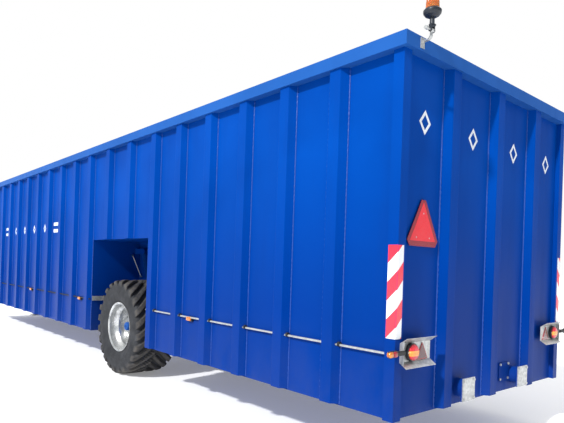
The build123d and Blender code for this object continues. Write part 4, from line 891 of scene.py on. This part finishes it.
def flat_badge(outline, thickness, place):
    """A thin badge: its outline drawn in a little at the front edge, closed back and front.
    The outline is (across, rise) points, and place turns it and a depth into frame points."""
    outline = np.asarray(outline, float)
    middle = outline.mean(axis=0)
    bevel = min(0.0012, thickness / 2)
    size = np.abs(outline - middle).max()
    inner = middle + (outline - middle) * (1 - bevel / size)
    rings = [(np.repeat(middle[None], len(outline), 0), 0.0), (outline, 0.0), (outline, thickness - bevel),
             (inner, thickness), (np.repeat(middle[None], len(outline), 0), thickness)]
    points = np.stack([place(ring, depth) for ring, depth in rings])
    return grid(points, loop_columns=True)


def rear_place(base):
    """Puts (across, rise) points on the rear, at a depth outwards from a base x."""
    return lambda ring, depth: np.stack([np.full(len(ring), base + depth), ring[:, 0], ring[:, 1]], axis=-1)


def side_place(base):
    """Puts (x, rise) points on the left wall, at a depth outwards from a base y."""
    return lambda ring, depth: np.stack([ring[:, 0], np.full(len(ring), base - depth), ring[:, 1]], axis=-1)


sign_low, sign_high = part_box("warning_triangle")
sign_middle = (sign_low.y + sign_high.y) / 2
SIGN_BORDER = 0.036


def arc_corners(corners, radius, per_corner=6):
    """A closed outline with each corner rounded: each is a quadratic curve between the points a
    radius away along its two sides."""
    corners = np.asarray(corners, float)
    before = np.roll(corners, 1, axis=0) - corners
    after = np.roll(corners, -1, axis=0) - corners
    start = corners + before / np.linalg.norm(before, axis=1)[:, None] * radius
    end = corners + after / np.linalg.norm(after, axis=1)[:, None] * radius
    t = np.linspace(0, 1, per_corner)[None, :, None]
    curve = (1 - t) ** 2 * start[:, None] + 2 * t * (1 - t) * corners[:, None] + t ** 2 * end[:, None]
    return curve.reshape(-1, 2)


inner_half = 0.176
sign_inner = arc_corners([(sign_middle - inner_half, sign_low.z + SIGN_BORDER + 0.006),
                          (sign_middle + inner_half, sign_low.z + SIGN_BORDER + 0.006),
                          (sign_middle, sign_low.z + SIGN_BORDER + 0.006 + inner_half * math.sqrt(3))], 0.010)
piece("sign_face", [flat_badge(sign_inner, 0.0012, rear_place(sign_high.x))], SIGN_FACE, "container",
      "sign_red")
rivets = [turned([(0, 0.0035), (0.004, 0.003), (0.006, 0.0015), (0.0062, 0)],
                 (sign_high.x, sign_middle + step, sign_low.z + rise), (1, 0, 0), 14)
          for step, rise in ((-0.09, 0.07), (0.09, 0.07), (0.0, 0.26))]
piece("sign_rivets", rivets, MATERIALS["galvanised"], "container", "galvanised")


def diamond(across, rise, half_width, half_height, stroke):
    """A hollow diamond as an outer outline joined to an inner one, in four mitred bars."""
    outer = np.array([(across, rise + half_height), (across + half_width, rise),
                      (across, rise - half_height), (across - half_width, rise)])
    inner = np.array([across, rise]) + (outer - (across, rise)) * (1 - stroke / min(half_width, half_height))
    return [np.array([outer[i], outer[(i + 1) % 4], inner[(i + 1) % 4], inner[i]]) for i in range(4)]


def bar_mark(across, rise, half_width, half_height):
    """A plain bar as a four-cornered outline."""
    return np.array([(across - half_width, rise - half_height), (across + half_width, rise - half_height),
                     (across + half_width, rise + half_height), (across - half_width, rise + half_height)])


REAR_MARK_RISE = underside + 2.305
rear_mark_places = [sign_middle, -END_RIB_PITCH / 2, END_RIB_PITCH / 2, -sign_middle]
marks = [flat_badge(bar, 0.0012, rear_place(rear_panel + 0.0004)) for place in rear_mark_places
         for bar in diamond(place, REAR_MARK_RISE, 0.080, 0.098, 0.030)]
piece("rear_marks", marks, MARK_WHITE, "container", "hazard_film")

side_marks = []
mark_bays = front_ribs[2:8] + FRONT_BAY / 2
side_mark_rise = underside + 1.70
for bay, run in enumerate(mark_bays):
    x = rear_face - run
    if bay in (0, 5):
        bars = [bar_mark(x, side_mark_rise + step, 0.145, 0.030) for step in (-0.062, 0.062)]
    else:
        bars = diamond(x, side_mark_rise, 0.062, 0.085, 0.030)
    side_marks += [flat_badge(bar, 0.0012, side_place(side_panel - 0.0004)) for bar in bars]
on_both_sides(("side_marks", side_marks, MARK_WHITE, "hazard_film"))


# ---------------------------------------------------------------------------
# Rear lamps, reflectors, marker lamps and side lamps
# ---------------------------------------------------------------------------
lamp_low, lamp_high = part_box("tail_lamps")
lamp_radius = (lamp_high.z - lamp_low.z) / 2
lamp_rise = (lamp_high.z + lamp_low.z) / 2
lamp_y = lamp_low.y + lamp_radius
lamp_depth = lamp_high.x - lamp_low.x
TAIL_LENS = tail_lens("tail lamp lens", lamp_rise)

housing = [(0, 0), (lamp_radius * 0.97, 0), (lamp_radius, 0.004), (lamp_radius, 0.026),
           (lamp_radius - 0.003, 0.029), (lamp_radius - 0.008, 0.029),
           (lamp_radius - 0.008, 0.024), (0, 0.024)]
glass = [(lamp_radius - 0.009, 0.024), (lamp_radius - 0.009, 0.034), (lamp_radius - 0.013, 0.041),
         (lamp_radius * 0.6, lamp_depth - 0.004), (lamp_radius * 0.3, lamp_depth - 0.001), (0, lamp_depth)]
glass_line = smooth_line(glass, 40)
lens_step = 0.0008 * np.sin(np.linspace(0, 26 * math.pi, 40))
glass_line[:, 1] += lens_step * (glass_line[:, 0] < lamp_radius - 0.014) - 0.0009
lamp_centre = (lamp_low.x, lamp_y, lamp_rise)
lamp_base = [turned(housing, lamp_centre, (1, 0, 0), 72)]
lamp_glass = [turned(glass_line, lamp_centre, (1, 0, 0), 72)]
lamp_screws = [turned([(0, 0.006), (0.004, 0.005), (0.005, 0)],
                      (lamp_low.x + 0.028, lamp_y + i * (lamp_radius - 0.0045), lamp_rise), (1, 0, 0), 10)
               for i in (-1, 1)]
on_both_sides(("tail_lamp_base", lamp_base, MATERIALS["black_plastic"], "black_plastic", ["tail_lamps"]),
              ("tail_lamp_glass", lamp_glass, TAIL_LENS, "red_lens", (), 60),
              ("tail_lamp_screws", lamp_screws, MATERIALS["galvanised"], "galvanised"))

prism_low, prism_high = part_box("tail_reflectors")
prism_side = (prism_high.z - prism_low.z) * 2 / math.sqrt(3)
prism_middle = prism_low.y + prism_side / 2


def triangle(across, rise, side):
    """A triangle with rounded corners standing on its base."""
    return arc_corners([(across - side / 2, rise), (across + side / 2, rise),
                        (across, rise + side * math.sqrt(3) / 2)], side * 0.08)


frame_badge = flat_badge(triangle(prism_middle, prism_low.z, prism_side), 0.006, rear_place(prism_low.x))
face_badge = flat_badge(triangle(prism_middle, prism_low.z + 0.010, prism_side - 0.032), 0.0018,
                        rear_place(prism_low.x + 0.006))
on_both_sides(("reflector_frame", [frame_badge], MATERIALS["red_lens"], "red_lens", ["tail_reflectors"]),
              ("reflector_face", [face_badge], REFLECTOR, "red_lens"))

marker_low, marker_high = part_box("marker_lamps")
marker_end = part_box("marker_arms")[0].y
marker_mid = (marker_low.y + marker_end) / 2
marker_base = [soft_block((marker_low.x + 0.012, marker_low.y + 0.002, marker_low.z),
                          (marker_high.x - 0.012, marker_end, marker_high.z), 0.008, along=1)]
marker_red = [soft_block((marker_low.x + 0.022, marker_mid + 0.001, marker_low.z + 0.004),
                         (marker_high.x, marker_end - 0.004, marker_high.z - 0.004), 0.012, along=1)]
marker_amber = [soft_block((marker_low.x + 0.002, marker_low.y, marker_low.z + 0.004),
                           (marker_high.x - 0.002, marker_mid - 0.001, marker_high.z - 0.004), 0.014,
                           along=1)]
on_both_sides(("marker_base", marker_base, MATERIALS["rubber"], "rubber", ["marker_lamps"]),
              ("marker_red", marker_red, MATERIALS["red_lens"], "red_lens"),
              ("marker_amber", marker_amber, MATERIALS["amber_lens"], "amber_lens"))

side_low, side_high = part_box("side_lamps")
lamp_bays = [(rear_ribs[3] + rear_ribs[4]) / 2] + [(front_ribs[i] + front_ribs[i + 1]) / 2 for i in (0, 4, 8)]
bases, lenses = [], []
for run in lamp_bays:
    x = rear_face - run
    bases.append(soft_block((x - 0.055, side_panel - 0.028, side_low.z), (x + 0.055, side_panel, side_high.z),
                            0.007, along=0))
    lenses.append(soft_block((x - 0.046, side_panel - 0.047, side_low.z + 0.006),
                             (x + 0.046, side_panel - 0.026, side_high.z - 0.006), 0.0095, along=0))
on_both_sides(("side_lamp_bases", bases, MATERIALS["black_plastic"], "black_plastic", ["side_lamps"]),
              ("side_lamp_lenses", lenses, MATERIALS["amber_lens"], "amber_lens"))


# ---------------------------------------------------------------------------
# Beacon lens with its flutes, and the lamp inside it
# ---------------------------------------------------------------------------
lens_low, lens_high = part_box("beacon_lens")
beacon_axis = (lens_low + lens_high) / 2
lens_radius = (lens_high.x - lens_low.x) / 2 - 0.0008
lens_height = lens_high.z - lens_low.z
outer_line = smooth_line([(lens_radius, 0), (lens_radius - 0.001, 0.030), (lens_radius - 0.004, 0.074),
                          (lens_radius - 0.010, lens_height - 0.012),
                          (lens_radius - 0.026, lens_height - 0.002), (0.0, lens_height)], 40)
outer_line[:, 1] = np.clip(outer_line[:, 1], 0, lens_height)
inner_line = outer_line[::-1] * np.array([0.95, 0.97])
lens_line = np.vstack([outer_line, inner_line])
flute_turn = np.linspace(0, TURN, 288, endpoint=False)[:, None]
fading = smooth_step(lens_height * 0.72, lens_height * 0.80, outer_line[:, 1])
body_part = smooth_step(0.0, 0.008, outer_line[:, 1]) * (1 - fading)
flutes = 0.0009 * np.cos(flute_turn * 48) * np.concatenate([body_part, np.zeros(40)])[None, :]
beacon_base = (beacon_axis.x, beacon_axis.y, lens_low.z)
piece("beacon_glass", [turned(lens_line, beacon_base, (0, 0, 1), 288, flutes)],
      lens_plastic("beacon amber", (1.0, 0.42, 0.04), (0.95, 0.20, 0.01), 0.75), "beacon", "amber_lens",
      ["beacon_lens"], 60)
bulb = [(0, 0.012), (0.009, 0.012), (0.009, 0.026), (0.012, 0.034), (0.0125, 0.046),
        (0.009, 0.056), (0, 0.059)]
piece("beacon_bulb", [turned(smooth_line(bulb, 30), beacon_base, (0, 0, 1), 40)], MARK_WHITE, "beacon",
      "mirror")


# ---------------------------------------------------------------------------
# Floor, light and camera
# ---------------------------------------------------------------------------
def make_floor():
    """A wide pale floor, faintly mottled."""
    mesh = bpy.data.meshes.new("floor")
    size = 400.0
    points = np.array([(-size, -size, 0), (size, -size, 0), (size, size, 0), (-size, size, 0)])
    mesh.from_pydata(points.tolist(), [], [(0, 1, 2, 3)])
    material, tree, shader = new_material("pale floor", Roughness=0.9, Specular_IOR_Level=0.1,
                                            Emission_Color=(1.0, 1.0, 1.0, 1.0), Emission_Strength=FLOOR_GLOW)
    speck = clouds(tree, 0.8, detail=6.0)
    tree.links.new(blended(tree, speck, (0.90, 0.90, 0.90), (0.86, 0.86, 0.86)), shader.inputs["Base Color"])
    mesh.materials.append(material)
    obj = bpy.data.objects.new("floor", mesh)
    bpy.context.scene.collection.objects.link(obj)


FLOOR_GLOW = 0.22
SUN_STRENGTH = 3.9
SUN_SPREAD = math.radians(3)
SUN_WAY = (-0.15, 1.0, -0.80)
OPEN_SKY = (1.0, 1.0, 1.0)
SHADED_YARD = (0.36, 0.42, 0.49)


def make_surround():
    """Open sky over the front and the far side, and a shaded yard behind the rear wall and beside
    the left wall: the two are told apart by the way a ray travels, and meet softly."""
    world = bpy.context.scene.world or bpy.data.worlds.new("surround")
    bpy.context.scene.world = world
    world.use_nodes = True
    tree = world.node_tree
    shade = tree.nodes["Background"]
    shade.inputs["Strength"].default_value = 1.0
    way = tree.nodes.new("ShaderNodeTexCoord")
    split = tree.nodes.new("ShaderNodeSeparateXYZ")
    tree.links.new(way.outputs["Generated"], split.inputs[0])
    rearward = ranged(tree, split.outputs["X"], -0.02, 0.22)
    leftward = ranged(tree, maths(tree, "MULTIPLY", split.outputs["Y"], -1.0), 0.02, 0.30, 0.0, 0.75)
    beside = maths(tree, "MAXIMUM", rearward, leftward)
    low = ranged(tree, split.outputs["Z"], 0.75, 0.30)
    yard = maths(tree, "MULTIPLY", beside, low)
    tree.links.new(blended(tree, yard, OPEN_SKY, SHADED_YARD), shade.inputs["Color"])


def make_lights():
    """One sun from the left, with the surround for fill."""
    make_surround()
    sun = bpy.data.lights.new("key", "SUN")
    sun.energy = SUN_STRENGTH
    sun.angle = SUN_SPREAD
    key = bpy.data.objects.new("key", sun)
    key.rotation_mode = "QUATERNION"
    key.rotation_quaternion = Vector(SUN_WAY).to_track_quat("-Z", "Y")
    bpy.context.scene.collection.objects.link(key)
    bpy.context.scene.view_settings.view_transform = "Standard"


EYE_BEHIND = 2.286
EYE_LEFT = 4.782
EYE_ABOVE_UNDERSIDE = 1.142
EYE_WAY = (-0.7697, 0.6385, 0.0)
EYE_ROLL = math.radians(1.915)
LENS_MM = 33.38
SHIFT = (0.0466, 0.0935)


def make_camera():
    """A camera behind and to the left of the rear corner, at a standing person's eye height."""
    data = bpy.data.cameras.new("camera")
    data.sensor_width = 36.0
    data.lens = LENS_MM
    data.shift_x, data.shift_y = SHIFT
    data.clip_end = 500
    camera = bpy.data.objects.new("camera", data)
    camera.location = (rear_face + EYE_BEHIND, -EYE_LEFT, underside + EYE_ABOVE_UNDERSIDE)
    camera.rotation_mode = "QUATERNION"
    look = Vector(EYE_WAY).to_track_quat("-Z", "Y")
    camera.rotation_quaternion = look @ Matrix.Rotation(EYE_ROLL, 3, "Z").to_quaternion()
    bpy.context.scene.collection.objects.link(camera)
    bpy.context.scene.camera = camera


make_floor()
make_lights()
make_camera()
